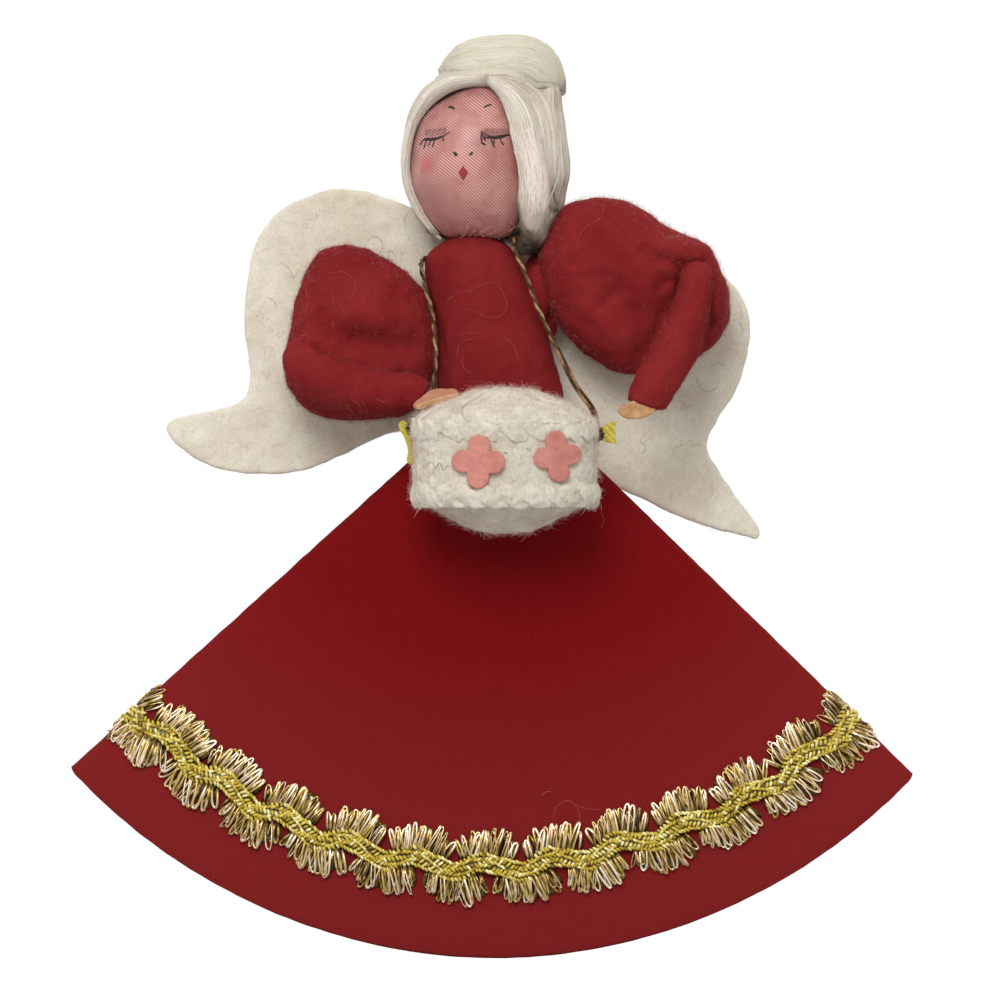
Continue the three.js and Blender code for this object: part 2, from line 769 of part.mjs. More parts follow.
const plate = wingPlate();
const flatLow = v(-wing.flatHalfWidth, -overrun, -wing.rise - overrun);
const flatHigh = v(wing.flatHalfWidth, wing.thickness + overrun, wing.rise + overrun);
const wings = join(plate.intersect(block(flatLow, flatHigh)), sweptSide(plate, 1), sweptSide(plate, -1));
piece(wingGroup, "wings", wings, creamFelt);

// Drum: a felt band with a domed felt disc whipped on at the top and the bottom, round a cotton filling
const drumGroup = group(drumCentre);
const seamHeight = drum.bandHeight / 2;
const domeShares = {
  top: [
    [0, 1],
    [0.34, 0.92],
    [0.64, 0.64],
    [0.85, 0.44],
    [0.96, 0.25],
    [1, 0],
  ],
  bottom: [
    [0, 1],
    [0.3, 0.94],
    [0.6, 0.55],
    [0.85, 0.14],
    [1, 0],
  ],
};

// The ovals of one dome, from its middle out to its rim
function dome(shares, side, rise, inset) {
  return shares.map(([out, up]) => [
    side * (seamHeight + gap / 2 + up * (rise - inset)),
    out * (drum.halfWidth - inset),
    out * (drum.halfDepth - inset),
  ]);
}

function drumOval(inset, low, high) {
  const [wide, deep] = [drum.halfWidth - inset, drum.halfDepth - inset];
  return ovalStack([[low, 0, 0], [low, wide, deep], [high, wide, deep], [high, 0, 0]]);
}

// A ring of stitches that sits in the corner of a seam. The plain ring round it is the groove it sits in
function seamRing(side, grow, stitchShare, count) {
  return loop(count, (i) => {
    const turn = (2 * Math.PI * i) / count;
    const radius = (drum.stitch + grow) * (i % 2 ? stitchShare : 1);
    return Array.from({ length: steps.stitch }, (_, j) => {
      const roll = (2 * Math.PI * j) / steps.stitch;
      const out = radius * Math.cos(roll) - drum.stitch;
      const z = side * seamHeight + radius * Math.sin(roll);
      return v((drum.halfWidth + out) * Math.cos(turn), (drum.halfDepth + out) * Math.sin(turn), z);
    });
  });
}

const grooves = [seamRing(1, gap, 1, steps.round), seamRing(-1, gap, 1, steps.round)];
const bandEnd = seamHeight - gap / 2;
const band = cut(drumOval(0, -bandEnd, bandEnd), drumOval(drum.felt, -seamHeight, seamHeight), ...grooves);
piece(drumGroup, "drum_band", band, whiteFelt);
const lids = [
  ["drum_top", domeShares.top, 1, drum.topRise],
  ["drum_bottom", domeShares.bottom, -1, drum.bottomRise],
];
lids.forEach(([name, shares, side, rise]) => {
  const lining = dome(shares, side, rise, drum.felt).reverse();
  const shell = ovalStack([...dome(shares, side, rise, 0), ...lining]);
  piece(drumGroup, name, cut(shell, ...grooves), whiteFelt);
});
const inner = drum.felt + gap;
const filling = ovalStack([
  ...dome(domeShares.top, 1, drum.topRise, inner),
  ...dome(domeShares.bottom, -1, drum.bottomRise, inner).reverse(),
]);
piece(drumGroup, "drum_filling", cut(filling, ...grooves), cotton);
const stitching = (side) => seamRing(side, 0, drum.stitchDipShare, 2 * drum.stitches);
piece(drumGroup, "drum_seam_top", stitching(1), whiteThread);
piece(drumGroup, "drum_seam_bottom", stitching(-1), whiteThread);

// Flowers: flat felt with four petals, glued to the front of the band
function flowerSolid(x, z, turn) {
  const count = flower.petals * steps.petal;
  const corners = Array.from({ length: count }, (_, i) => {
    const round = (2 * Math.PI * i) / count;
    const petal = Math.sqrt(Math.abs(Math.cos((flower.petals * round) / 2)));
    const radius = mix(flower.waist, flower.reach, petal);
    return new THREE.Vector2(radius * Math.cos(round + turn), radius * Math.sin(round + turn));
  });
  const onBand = Math.sqrt(1 - (x / drum.halfWidth) ** 2);
  const normal = v(x / drum.halfWidth ** 2, -onBand / drum.halfDepth, 0).normalize();
  const up = v(0, 0, 1);
  const depth = flower.reach + gap + flower.thickness;
  const geometry = new THREE.ExtrudeGeometry(new THREE.Shape(corners), { depth, bevelEnabled: false });
  geometry.translate(0, 0, -flower.reach);
  geometry.applyMatrix4(new THREE.Matrix4().makeBasis(up.clone().cross(normal), up, normal));
  geometry.translate(x, -onBand * drum.halfDepth, z);
  return cut(solidOf(geometry), drumOval(-gap, -drum.bandHeight, drum.bandHeight));
}

const flowerLeft = flowerSolid(flower.leftOffset, flower.leftUp, flower.leftTurn);
const flowerRight = flowerSolid(-flower.rightOffset, flower.rightUp, flower.rightTurn);
piece(drumGroup, "flower_left", flowerLeft, pinkFelt);
piece(drumGroup, "flower_right", flowerRight, pinkFelt);

// Strap: yellow raffia tabs at the drum's sides, a knot over each, and a cord between them round the neck
const sideShare = Math.sqrt(1 - (tab.behind / drum.halfDepth) ** 2);
const tabX = drum.halfWidth * sideShare + gap;
const tabZ = seamHeight - tab.drop;
const leftTabFoot = v(tabX, tab.behind, tabZ - tab.stem);
const leftTabEnd = leftTabFoot.clone().add(v(tab.reach, 0, 0));
const flaring = [[0, 0], [tab.stem, 0], [tab.stem, tab.reach / 2], [tab.flare, tab.reach], [0, tab.reach]];
piece(drumGroup, "strap_tab_left", turned(flaring, leftTabFoot, leftTabEnd), raffia);

function leaningTab() {
  const corners = [
    new THREE.Vector2(-tabX, tabZ - tab.height),
    new THREE.Vector2(-tabX - tab.thickness, tabZ - tab.height),
    new THREE.Vector2(-tabX - tab.lean - tab.thickness, tabZ),
    new THREE.Vector2(-tabX - tab.lean, tabZ),
  ];
  const options = { depth: tab.width, bevelEnabled: false };
  const geometry = new THREE.ExtrudeGeometry(new THREE.Shape(corners), options);
  geometry.rotateX(Math.PI / 2).translate(0, tab.behind + tab.width / 2, 0);
  return solidOf(geometry);
}

piece(drumGroup, "strap_tab_right", leaningTab(), raffia);

const knotForm = (side) => {
  const semi = v(knot.radius, knot.radius, knot.radius);
  const centre = v(side * (tabX + knot.radius), tab.behind, tabZ + gap + knot.radius);
  return roundForm(semi, centre, new THREE.Euler(), plainFullness, steps.wire);
};
piece(drumGroup, "strap_knot_left", knotForm(1), brownCord);
piece(drumGroup, "strap_knot_right", knotForm(-1), brownCord);

// The cord's route from the left knot, up the chest, round the back of the neck and down to the right knot
const strapRoute = [
  [18.6, -18.6, 16.3],
  [17.2, -17.6, 18.6],
  [14.3, -15.9, 22.6],
  [10.5, -13.2, 30.2],
  [8.2, -11.5, 35],
  [6.3, -9.8, 39.7],
  [4.1, -7.8, 45.4],
  [2.2, -5.6, 49.4],
  [2.6, -1.5, 51],
  [0.6, 3.6, 51.5],
  [-4.6, 6.4, 51.6],
  [-9.8, 4.6, 51.3],
  [-12.9, 0, 50],
  [-14.5, -3.4, 46.8],
  [-13.9, -5.9, 42],
  [-12.7, -9, 36],
  [-12.1, -11.2, 31],
  [-12.2, -12.9, 26],
  [-12.9, -13.9, 21.5],
  [-15.1, -15, 18],
  [-16.9, -17.4, 15.8],
];
piece(group(), "strap_cord", cord(strapRoute), brownCord);

export default angel;
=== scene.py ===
# %% [markdown]
# # A felt angel with a drum
# The solid model gives every piece its place and size. This lesson dresses it: felt that looks
# brushed and fluffy, satin with a weave, silky hair, tinsel braid and a twisted cord. Each step
# first says what the piece is on the real figure and why it is made the way it is.

# %% Load the solid model
import math

import bpy
import numpy as np
from mathutils import Matrix, Vector, noise
from mathutils.bvhtree import BVHTree


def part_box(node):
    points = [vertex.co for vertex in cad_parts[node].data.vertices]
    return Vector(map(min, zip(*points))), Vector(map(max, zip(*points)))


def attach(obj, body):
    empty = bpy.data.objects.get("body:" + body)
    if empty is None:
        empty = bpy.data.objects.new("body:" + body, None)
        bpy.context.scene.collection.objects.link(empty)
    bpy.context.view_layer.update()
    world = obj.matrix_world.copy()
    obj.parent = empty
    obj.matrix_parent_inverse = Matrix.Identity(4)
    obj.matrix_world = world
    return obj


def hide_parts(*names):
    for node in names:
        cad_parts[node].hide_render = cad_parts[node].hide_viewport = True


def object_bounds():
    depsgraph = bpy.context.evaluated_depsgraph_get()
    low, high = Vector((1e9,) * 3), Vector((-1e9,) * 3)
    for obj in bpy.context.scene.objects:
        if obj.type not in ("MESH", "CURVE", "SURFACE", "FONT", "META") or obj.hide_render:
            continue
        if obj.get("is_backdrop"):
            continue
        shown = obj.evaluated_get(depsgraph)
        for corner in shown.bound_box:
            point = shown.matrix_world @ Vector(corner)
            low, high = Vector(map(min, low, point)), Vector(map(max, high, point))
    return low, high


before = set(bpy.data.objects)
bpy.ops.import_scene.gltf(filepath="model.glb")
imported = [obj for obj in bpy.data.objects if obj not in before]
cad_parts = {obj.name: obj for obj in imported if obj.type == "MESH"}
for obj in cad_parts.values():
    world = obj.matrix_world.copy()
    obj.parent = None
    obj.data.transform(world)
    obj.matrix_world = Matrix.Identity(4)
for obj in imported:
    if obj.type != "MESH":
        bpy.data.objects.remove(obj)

cad_low, cad_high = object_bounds()
mm = 0.001
print("solid model, mm:", [round(x / mm, 1) for x in (*cad_low, *cad_high)])

# %% [markdown]
# ## Where the photograph looks
# The picture was taken square on. One scale turns its columns and rows into metres, so a place
# that is read off the picture can be used in the model. A very long lens stands far away, because
# the picture shows almost no perspective.

# %% Picture scale and camera
pixel = 0.19 * mm
picture_side = 1000
zero_column = 500
zero_row = 504
lens = 1000
sensor = 36
focus_y = -12 * mm


def seen(column, row, y=0.0):
    """The point of the model that a column and a row of the picture show, at depth y."""
    return Vector(((column - zero_column) * pixel, y, (zero_row - row) * pixel))


look_height = (zero_row - picture_side / 2) * pixel
far_away = picture_side * pixel * lens / sensor
bpy.ops.object.camera_add(
    location=(0, focus_y - far_away, look_height), rotation=(math.pi / 2, 0, 0))
camera = bpy.context.object
camera.data.lens = lens
camera.data.sensor_width = sensor
camera.data.clip_end = 100
bpy.context.scene.camera = camera
bpy.context.scene.view_settings.view_transform = "Standard"
print("camera stands", round(far_away, 3), "m away")

# %% [markdown]
# ## Tools of the bench
# A few helpers are used by many pieces. One selects a single piece, because an operator acts on
# everything that is selected. One runs operators in edit mode, one adds a modifier and applies it,
# and one rolls a flat grid into a closed band, as a seamstress joins two edges.

# %% Selecting and naming
def only(piece):
    """Selects this piece and nothing else."""
    if bpy.context.mode != "OBJECT":
        bpy.ops.object.mode_set(mode="OBJECT")
    bpy.ops.object.select_all(action="DESELECT")
    piece.select_set(True)
    bpy.context.view_layer.objects.active = piece
    return piece


def nothing():
    bpy.ops.object.select_all(action="DESELECT")


def newest(name):
    piece = bpy.context.object
    piece.name = name
    piece.data.name = name
    return piece


def in_edit(piece, *steps):
    """Runs edit mode operators on the whole mesh."""
    only(piece)
    bpy.ops.object.mode_set(mode="EDIT")
    bpy.ops.mesh.select_all(action="SELECT")
    for step in steps:
        step()
    bpy.ops.object.mode_set(mode="OBJECT")


weld = 0.002 * mm


def weld_points():
    bpy.ops.mesh.remove_doubles(threshold=weld)


def face_outward():
    bpy.ops.mesh.normals_make_consistent(inside=False)


def apply(piece, kind, **settings):
    """Adds a modifier, sets it and applies it."""
    only(piece)
    made = piece.modifiers.new(kind.lower(), kind)
    for key, value in settings.items():
        setattr(made, key, value)
    bpy.ops.object.modifier_apply(modifier=made.name)


def smooth(piece):
    only(piece)
    bpy.ops.object.shade_smooth()
    return piece


# %% Rolling a grid
def rolled(name, columns, rows, place):
    """A flat grid whose points are moved to place(column, row), with its meeting edges welded."""
    nothing()
    bpy.ops.mesh.primitive_grid_add(x_subdivisions=columns, y_subdivisions=rows, size=1)
    piece = newest(name)
    for point in piece.data.vertices:
        i = round((point.co.x + 0.5) * columns)
        j = round((point.co.y + 0.5) * rows)
        point.co = place(i, j)
    in_edit(piece, weld_points, face_outward)
    return smooth(piece)


# %% [markdown]
# ## From solid to soft form
# A soft piece starts from its solid, from a few stretched balls, or from an outline cut flat. A
# voxel remesh melts them into one skin of small even faces. The skin is then smoothed and pushed
# about by noise. Sculpting by hand would look the same, but it can't be repeated.

# %% Shaping
def shape(piece, move):
    """Moves each point of a mesh to move(place, normal)."""
    normals = [point.normal.copy() for point in piece.data.vertices]
    for point, normal in zip(piece.data.vertices, normals):
        point.co = move(point.co.copy(), normal)
    piece.data.update()
    return piece


def soften(piece, rounds, strength=0.5):
    apply(piece, "SMOOTH", iterations=rounds, factor=strength)
    return piece


def blob(column, row, y, half_sizes, lean=0):
    """A stretched ball that is later melted into a form. lean turns it in the picture's plane."""
    nothing()
    bpy.ops.mesh.primitive_uv_sphere_add(segments=32, ring_count=16, radius=1, location=(0, 0, 0))
    ball = newest("blob")
    turn = Matrix.Rotation(math.radians(lean), 4, "Y")
    stretch = Matrix.Diagonal(Vector((*half_sizes, 1)) * mm)
    stretch[3][3] = 1
    ball.data.transform(Matrix.Translation(seen(column, row, y * mm)) @ turn @ stretch)
    return ball


def melted(name, forms, voxel, rounds=3):
    """Several forms as one smooth closed mesh of small even faces."""
    nothing()
    for form in forms:
        form.select_set(True)
    bpy.context.view_layer.objects.active = forms[0]
    if len(forms) > 1:
        bpy.ops.object.join()
    piece = newest(name)
    piece.data.materials.clear()
    in_edit(piece, weld_points)
    apply(piece, "REMESH", mode="VOXEL", voxel_size=voxel)
    soften(piece, rounds)
    return smooth(piece)


def copied(node):
    copy = bpy.data.objects.new(node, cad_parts[node].data.copy())
    bpy.context.scene.collection.objects.link(copy)
    return copy


def soft_copy(name, nodes, voxel, rounds=3, forms=()):
    """The form of some solids, with some forms added, as one smooth mesh."""
    return melted(name, [copied(node) for node in nodes] + list(forms), voxel, rounds)


def cut_flat(name, outline, thickness, voxel, rounds=3, bevel=0.0):
    """A flat form cut along a line of the picture, standing upright, with small even faces."""
    curve = bpy.data.curves.new(name, "CURVE")
    curve.dimensions = "2D"
    curve.fill_mode = "BOTH"
    curve.extrude = thickness / 2 - bevel
    curve.bevel_depth = bevel
    curve.offset = -bevel
    curve.resolution_u = 8
    line = curve.splines.new("BEZIER")
    line.bezier_points.add(len(outline) - 1)
    for point, (column, row) in zip(line.bezier_points, outline):
        place = seen(column, row)
        point.co = (place.x, place.z, 0)
        point.handle_left_type = point.handle_right_type = "AUTO"
    line.use_cyclic_u = True
    piece = bpy.data.objects.new(name, curve)
    bpy.context.scene.collection.objects.link(piece)
    only(piece)
    bpy.ops.object.convert(target="MESH")
    piece = newest(name)
    piece.data.transform(Matrix.Rotation(math.pi / 2, 4, "X"))
    in_edit(piece, weld_points, face_outward)
    apply(piece, "REMESH", mode="VOXEL", voxel_size=voxel)
    return soften(smooth(piece), rounds)


def lumps(place, size, height):
    return noise.noise(place / size) * height


def felted(piece, lump=1.9 * mm, height=0.16 * mm):
    """Gives a smooth form the uneven skin of felt."""
    fine = lump / 4

    def move(place, normal):
        return place + normal * (lumps(place, lump, height) + lumps(place, fine, height / 3))

    return shape(piece, move)


# %% [markdown]
# ## Threads of every kind
# Hair, stitches, tinsel and fuzz are all thin strands, hundreds at a time. Curve objects would be
# slow, and hard to colour one by one. So a whole bundle is one mesh: a small ring of points is
# carried along each path, and each strand gets a shade that its finish reads.

# %% Strands
def strands(
    name, paths, width, thickness=None, sides=4, facing=(0.2, -0.95, 0.24), ends=1.0, shades=None
):
    """One mesh of many strands. paths holds strands, then points.

    ends is the share of the width that is left at the tips.
    """
    paths = np.asarray(paths, float)
    count, points = paths.shape[:2]
    along = np.gradient(paths, axis=1)
    along /= np.linalg.norm(along, axis=2, keepdims=True) + 1e-12
    out = np.broadcast_to(np.asarray(facing, float), paths.shape)
    side = np.cross(along, out)
    side /= np.linalg.norm(side, axis=2, keepdims=True) + 1e-12
    out = np.cross(side, along)
    taper = 1 - (1 - ends) * np.abs(np.linspace(-1, 1, points)) ** 3
    half = np.broadcast_to(np.asarray(width, float) / 2, (count, points)) * taper
    rise = half if thickness is None else half * (thickness / np.mean(width))
    turn = (np.arange(sides) + 0.5) * 2 * math.pi / sides
    ring = (
        paths[:, :, None]
        + side[:, :, None] * (half[:, :, None] * np.cos(turn))[..., None]
        + out[:, :, None] * (rise[:, :, None] * np.sin(turn))[..., None]
    )
    index = np.arange(count * points * sides).reshape(count, points, sides)
    after = np.roll(index, -1, axis=2)
    walls = np.stack([index[:, :-1], index[:, 1:], after[:, 1:], after[:, :-1]], axis=-1)
    faces = walls.reshape(-1, 4).tolist()
    faces += index[:, 0].tolist() + index[:, -1, ::-1].tolist()
    mesh = bpy.data.meshes.new(name)
    mesh.from_pydata(ring.reshape(-1, 3).tolist(), [], faces)
    mesh.polygons.foreach_set("use_smooth", np.ones(len(faces), bool))
    if shades is None:
        shades = chance.random(count)
    shade = mesh.attributes.new("shade", "FLOAT", "POINT")
    shades = np.asarray(shades, np.float32)
    if shades.ndim == 1:
        shades = np.repeat(shades[:, None], points, axis=1)
    shade.data.foreach_set("value", np.repeat(shades.ravel(), sides))
    piece = bpy.data.objects.new(name, mesh)
    bpy.context.scene.collection.objects.link(piece)
    return piece


chance = np.random.default_rng(24)
span_steps = 24


def smooth_line(points, count):
    """A smooth line through some points, as many points as asked for, evenly spaced."""
    knots = np.asarray([tuple(point) for point in points], float)
    padded = np.vstack([2 * knots[0] - knots[1], knots, 2 * knots[-1] - knots[-2]])
    line = []
    for a, b, c, d in zip(padded, padded[1:], padded[2:], padded[3:]):
        bend = 2 * a - 5 * b + 4 * c - d
        flick = 3 * b - a - 3 * c + d
        for t in np.linspace(0, 1, span_steps, endpoint=False):
            curve = 2 * b + (c - a) * t + bend * t**2 + flick * t**3
            line.append(curve / 2)
    line = np.array([*line, knots[-1]])
    far = np.concatenate([[0], np.cumsum(np.linalg.norm(np.diff(line, axis=0), axis=1))])
    even = np.linspace(0, far[-1], count)
    return np.stack([np.interp(even, far, line[:, k]) for k in range(3)], axis=1)


def length_of(line):
    return float(np.linalg.norm(np.diff(line, axis=0), axis=1).sum())


# %% [markdown]
# ## Loose fibres
# Felt is pressed wool, and single fibres always work loose. They are scattered over a piece's
# faces, lie along the surface or lean off it, and curl a little. A hair system could do this, but
# a mesh is the same in every render.

# %% Fuzz
def fuzz(name, target, count, length, width, lift=0.35, curl=0.9, points=5, at_edges=0.0):
    """Short curling fibres scattered over a piece. lift is how far they lean off the surface.

    at_edges from 0 to 1 gathers them at the sides, where a piece is rubbed. Below 0 it keeps
    them off the sides.
    """
    mesh = target.data
    mesh.calc_loop_triangles()
    corner = np.empty(len(mesh.vertices) * 3)
    mesh.vertices.foreach_get("co", corner)
    corner = corner.reshape(-1, 3)
    index = np.empty(len(mesh.loop_triangles) * 3, int)
    mesh.loop_triangles.foreach_get("vertices", index)
    a, b, c = (corner[index.reshape(-1, 3)[:, k]] for k in range(3))
    normal = np.cross(b - a, c - a)
    area = np.linalg.norm(normal, axis=1)
    normal /= area[:, None] + 1e-15
    facing_front = np.abs(normal[:, 1])
    area = area * (facing_front**8 if at_edges < 0 else (1 - at_edges * facing_front) ** 2)
    pick = chance.choice(len(area), count, p=area / area.sum())
    u, w = chance.random((2, count))
    flip = u + w > 1
    u, w = np.where(flip, 1 - u, u)[:, None], np.where(flip, 1 - w, w)[:, None]
    at = a[pick] + (b - a)[pick] * u + (c - a)[pick] * w
    up = normal[pick]
    way = np.cross(up, chance.normal(size=(count, 3)))
    way /= np.linalg.norm(way, axis=1, keepdims=True)
    across = np.cross(up, way)
    step = length * chance.uniform(0.4, 1.3, (count, 1)) / (points - 1)
    bend = chance.normal(0, curl, (count, 1))
    rise = lift * chance.random((count, 1))
    path = [at - up * width]
    for k in range(1, points):
        turn = bend * k / (points - 1) * 2
        heading = way * np.cos(turn) + across * np.sin(turn)
        path.append(path[-1] + (heading + up * rise * (1 - k / points)) * step)
    paths = np.stack(path, axis=1)
    shades = chance.random(count) ** 2.5
    if at_edges < 0:
        skin = BVHTree.FromPolygons(corner.tolist(), index.reshape(-1, 3).tolist())
        most = 0.35 * length * (lift + 0.1) + 0.1 * mm
        kept = np.array([skin.find_nearest(tip)[3] < most for tip in path[-1].tolist()])
        paths, up, shades = paths[kept], up[kept], shades[kept]
    return strands(name, paths, width, sides=3, facing=up[:, None], ends=0.5, shades=shades)


# %% [markdown]
# ## Handing over
# A finished piece gets its finish, rides on a body and stands in for its solids. Every piece goes
# through one function, so none is left without a body or a material.

# %% Handing a piece over
triangles = {}
dressed = {}


def hand_over(piece, body, slot, finish, *nodes):
    """Gives a finished piece its material, its body and the solids that it stands for. slot is not
    used.
    """
    piece.data.materials.clear()
    piece.data.materials.append(finish)
    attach(piece, body)
    if nodes:
        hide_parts(*nodes)
    piece.data.calc_loop_triangles()
    triangles[piece.name] = len(piece.data.loop_triangles)
    dressed[piece.name] = piece
    print(piece.name, "rides on", body, "with", triangles[piece.name], "triangles")
    return piece


def fluff(name, target, body, slot, finish, count, length, width, **ways):
    """Scatters fibres over a piece and hands them over as a piece of their own."""
    return hand_over(fuzz(name, target, count, length, width, **ways), body, slot, finish)


# %% [markdown]
# ## Finishes
# A colour is written as the eye sees it in the picture and turned into the linear value that a
# shader wants. Felt gets its look from three layers: wide blotches where the wool is brushed, fine
# fibre speckle, and a sheen at grazing angles. Nothing is painted by where the camera stands.

# %% Colours and nodes
def tone(red, green, blue):
    def linear(byte):
        share = byte / 255
        return share / 12.92 if share <= 0.04045 else ((share + 0.055) / 1.055) ** 2.4

    return (linear(red), linear(green), linear(blue), 1.0)


def grey(value):
    return (value, value, value, 1)


class Finish:
    """A material and short ways of adding nodes to it."""

    def __init__(self, name, **sockets):
        self.made = bpy.data.materials.new(name)
        self.made.use_nodes = True
        self.tree = self.made.node_tree
        self.shader = self.tree.nodes["Principled BSDF"]
        for key, value in sockets.items():
            self.shader.inputs[key.replace("_", " ")].default_value = value
        self.place = self.tree.nodes.new("ShaderNodeTexCoord").outputs["Object"]

    def add(self, kind, settings=None, **inputs):
        node = self.tree.nodes.new(kind)
        for key, value in (settings or {}).items():
            setattr(node, key, value)
        for key, value in inputs.items():
            socket = node.inputs[key.replace("_", " ")]
            if isinstance(value, bpy.types.NodeSocket):
                self.tree.links.new(value, socket)
            else:
                socket.default_value = value
        return node

    def speckle(self, size, detail=3.0, roughness=0.6, distortion=0.0, place=None):
        settings = dict(Scale=1 / size, Detail=detail, Roughness=roughness, Distortion=distortion)
        return self.add("ShaderNodeTexNoise", Vector=place or self.place, **settings).outputs[0]

    def stretched(self, scale, turn=(0, 0, 0)):
        mapping = self.add("ShaderNodeMapping", Vector=self.place, Scale=scale, Rotation=turn)
        return mapping.outputs[0]

    def ramp(self, share, *stops):
        node = self.add("ShaderNodeValToRGB", Fac=share)
        while len(node.color_ramp.elements) < len(stops):
            node.color_ramp.elements.new(0.5)
        for element, (at, colour) in zip(node.color_ramp.elements, stops):
            element.position = at
            element.color = colour
        return node.outputs[0]

    def mixed(self, share, first, second):
        node = self.tree.nodes.new("ShaderNodeMix")
        node.data_type = "RGBA"
        for at, value in ((0, share), (6, first), (7, second)):
            if isinstance(value, bpy.types.NodeSocket):
                self.tree.links.new(value, node.inputs[at])
            else:
                node.inputs[at].default_value = value
        return node.outputs[2]

    def paint(self, colour):
        self.tree.links.new(colour, self.shader.inputs["Base Color"])

    def relief(self, height, depth, strength=0.6):
        bump = self.add("ShaderNodeBump", Height=height, Distance=depth, Strength=strength)
        self.tree.links.new(bump.outputs[0], self.shader.inputs["Normal"])

    def attribute(self, name):
        return self.add("ShaderNodeAttribute", {"attribute_name": name}).outputs["Fac"]


# %% Felt, thread and fibre
fibre_size = 0.32 * mm


def flecked(made, colour, pale, speckled):
    """Pale single fibres over a colour, and the fibres' pattern for the relief."""
    fibre = made.speckle(fibre_size, 6, 0.75, 1.6)
    flecks = made.ramp(fibre, (0.5, grey(0)), (0.8, grey(speckled)))
    return made.mixed(flecks, colour, pale), fibre


def felt(name, dark, light, pale, blotch=9 * mm, speckled=0.3, sheen=0.12, deep=None):
    made = Finish(
        name, Roughness=0.95, Sheen_Weight=sheen, Sheen_Roughness=0.55, Specular_IOR_Level=0.1)
    made.shader.inputs["Sheen Tint"].default_value = light
    wide = made.ramp(made.speckle(blotch, 3), (0.34, dark), (0.66, light))
    coloured, fibre = flecked(made, wide, pale, speckled)
    if deep:
        clumps = made.speckle(0.75 * mm, 5, 0.7, 2.2)
        wool = made.ramp(clumps, (0.34, grey(0.75)), (0.5, grey(0)))
        coloured = made.mixed(wool, coloured, deep)
    made.paint(coloured)
    made.relief(fibre, 0.25 * mm, 0.75)
    return made


def streaked(name, stops, roughness, **sockets):
    """A finish whose colour follows the shade that each strand was given."""
    made = Finish(name, Roughness=roughness, **sockets)
    made.paint(made.ramp(made.attribute("shade"), *stops))
    grain = made.speckle(0.2 * mm, 3)
    made.relief(grain, 0.04 * mm, 0.4)
    return made.made


def shade_under_drum(made, dark, light, pale, speckled, near, far, point):
    """The skirt's colour with painted shade: darker near its point, under the drum, paler far from
    it.
    """
    away = made.add("ShaderNodeVectorMath", {"operation": "DISTANCE"})
    made.tree.links.new(made.place, away.inputs[0])
    away.inputs[1].default_value = point
    share = made.add(
        "ShaderNodeMapRange", Value=away.outputs["Value"], **{"From_Min": near, "From_Max": far})
    made.paint(flecked(made, made.mixed(share.outputs[0], dark, light), pale, speckled)[0])


red_felt = felt("red_felt", tone(126, 28, 30), tone(140, 39, 40), tone(172, 70, 68)).made
cone_point = seen(504, 375)
skirt_finish = felt(
    "skirt_red", tone(114, 16, 20), tone(128, 22, 26), tone(140, 36, 36), 14 * mm, 0.2, 0.04)
# Painted shade: the skirt's red is darker near the cone's point, where the drum shades it.
shade_under_drum(
    skirt_finish, tone(122, 9, 14), tone(131, 32, 33), tone(152, 52, 52), 0.24,
    52 * mm, 90 * mm, cone_point)
skirt_red = skirt_finish.made
cream_felt = felt(
    "cream_felt", tone(228, 218, 197), tone(248, 241, 222), tone(252, 249, 238), 8 * mm, 0.6,
    deep=tone(208, 197, 175)).made
white_felt = felt(
    "white_felt", tone(214, 205, 186), tone(236, 229, 213), tone(250, 247, 238), 4 * mm, 0.6,
    deep=tone(196, 184, 164)).made
salmon_felt = felt(
    "salmon_felt", tone(206, 132, 120), tone(220, 148, 136), tone(236, 180, 168), 4 * mm).made
red_fuzz = streaked(
    "red_fuzz", [(0, tone(116, 26, 28)), (0.7, tone(140, 42, 42)), (1, tone(200, 120, 116))], 0.85)
skirt_fuzz_red = streaked(
    "skirt_fuzz_red", [(0, tone(110, 22, 24)), (0.9, tone(134, 34, 36)), (1, tone(170, 84, 82))],
    0.85)
# Rim fibres paler than the felt: painted light where they catch it. The chin's frayed threads use
# the same colours.
pink_fringe_and_rim_light = streaked(
    "pink_fringe_and_rim_light", [(0, tone(158, 68, 66)), (0.5, tone(196, 120, 114)), (1, tone(226, 184, 172))],
    0.85)
white_fuzz = streaked(
    "white_fuzz", [(0, tone(236, 230, 216)), (0.4, tone(226, 216, 198)), (1, tone(192, 178, 158))],
    0.8)
pink_fuzz = streaked(
    "pink_fuzz", [(0, tone(236, 206, 198)), (0.5, tone(224, 170, 164)), (1, tone(200, 120, 120))],
    0.8)
# Dark stray hairs; the same colours paint the shade at the nape.
stray_dark_and_shade = streaked("stray_dark_and_shade", [(0, tone(96, 84, 72)), (1, tone(140, 126, 108))], 0.6)
stray_pink = streaked("stray_pink", [(0, tone(168, 66, 62)), (1, tone(196, 104, 98))], 0.7)
floss_stops = [
    (0, tone(168, 150, 134)), (0.3, tone(206, 194, 178)), (0.75, tone(226, 217, 201)),
    (1, tone(248, 242, 230)),
]
floss = streaked("floss", floss_stops, 0.36, Specular_IOR_Level=0.5)
bun_stops = [(0, tone(196, 187, 166)), (0.5, tone(213, 206, 186)), (1, tone(228, 222, 205))]
bun_floss = streaked("bun_floss", bun_stops, 0.34, Specular_IOR_Level=0.5)
# Painted highlights: a pale floss for a few strands where the hair shines.
glint_stops = [(0, tone(238, 214, 206)), (1, tone(255, 246, 240))]
glint_floss = streaked("glint_floss", glint_stops, 0.3, Specular_IOR_Level=0.6)
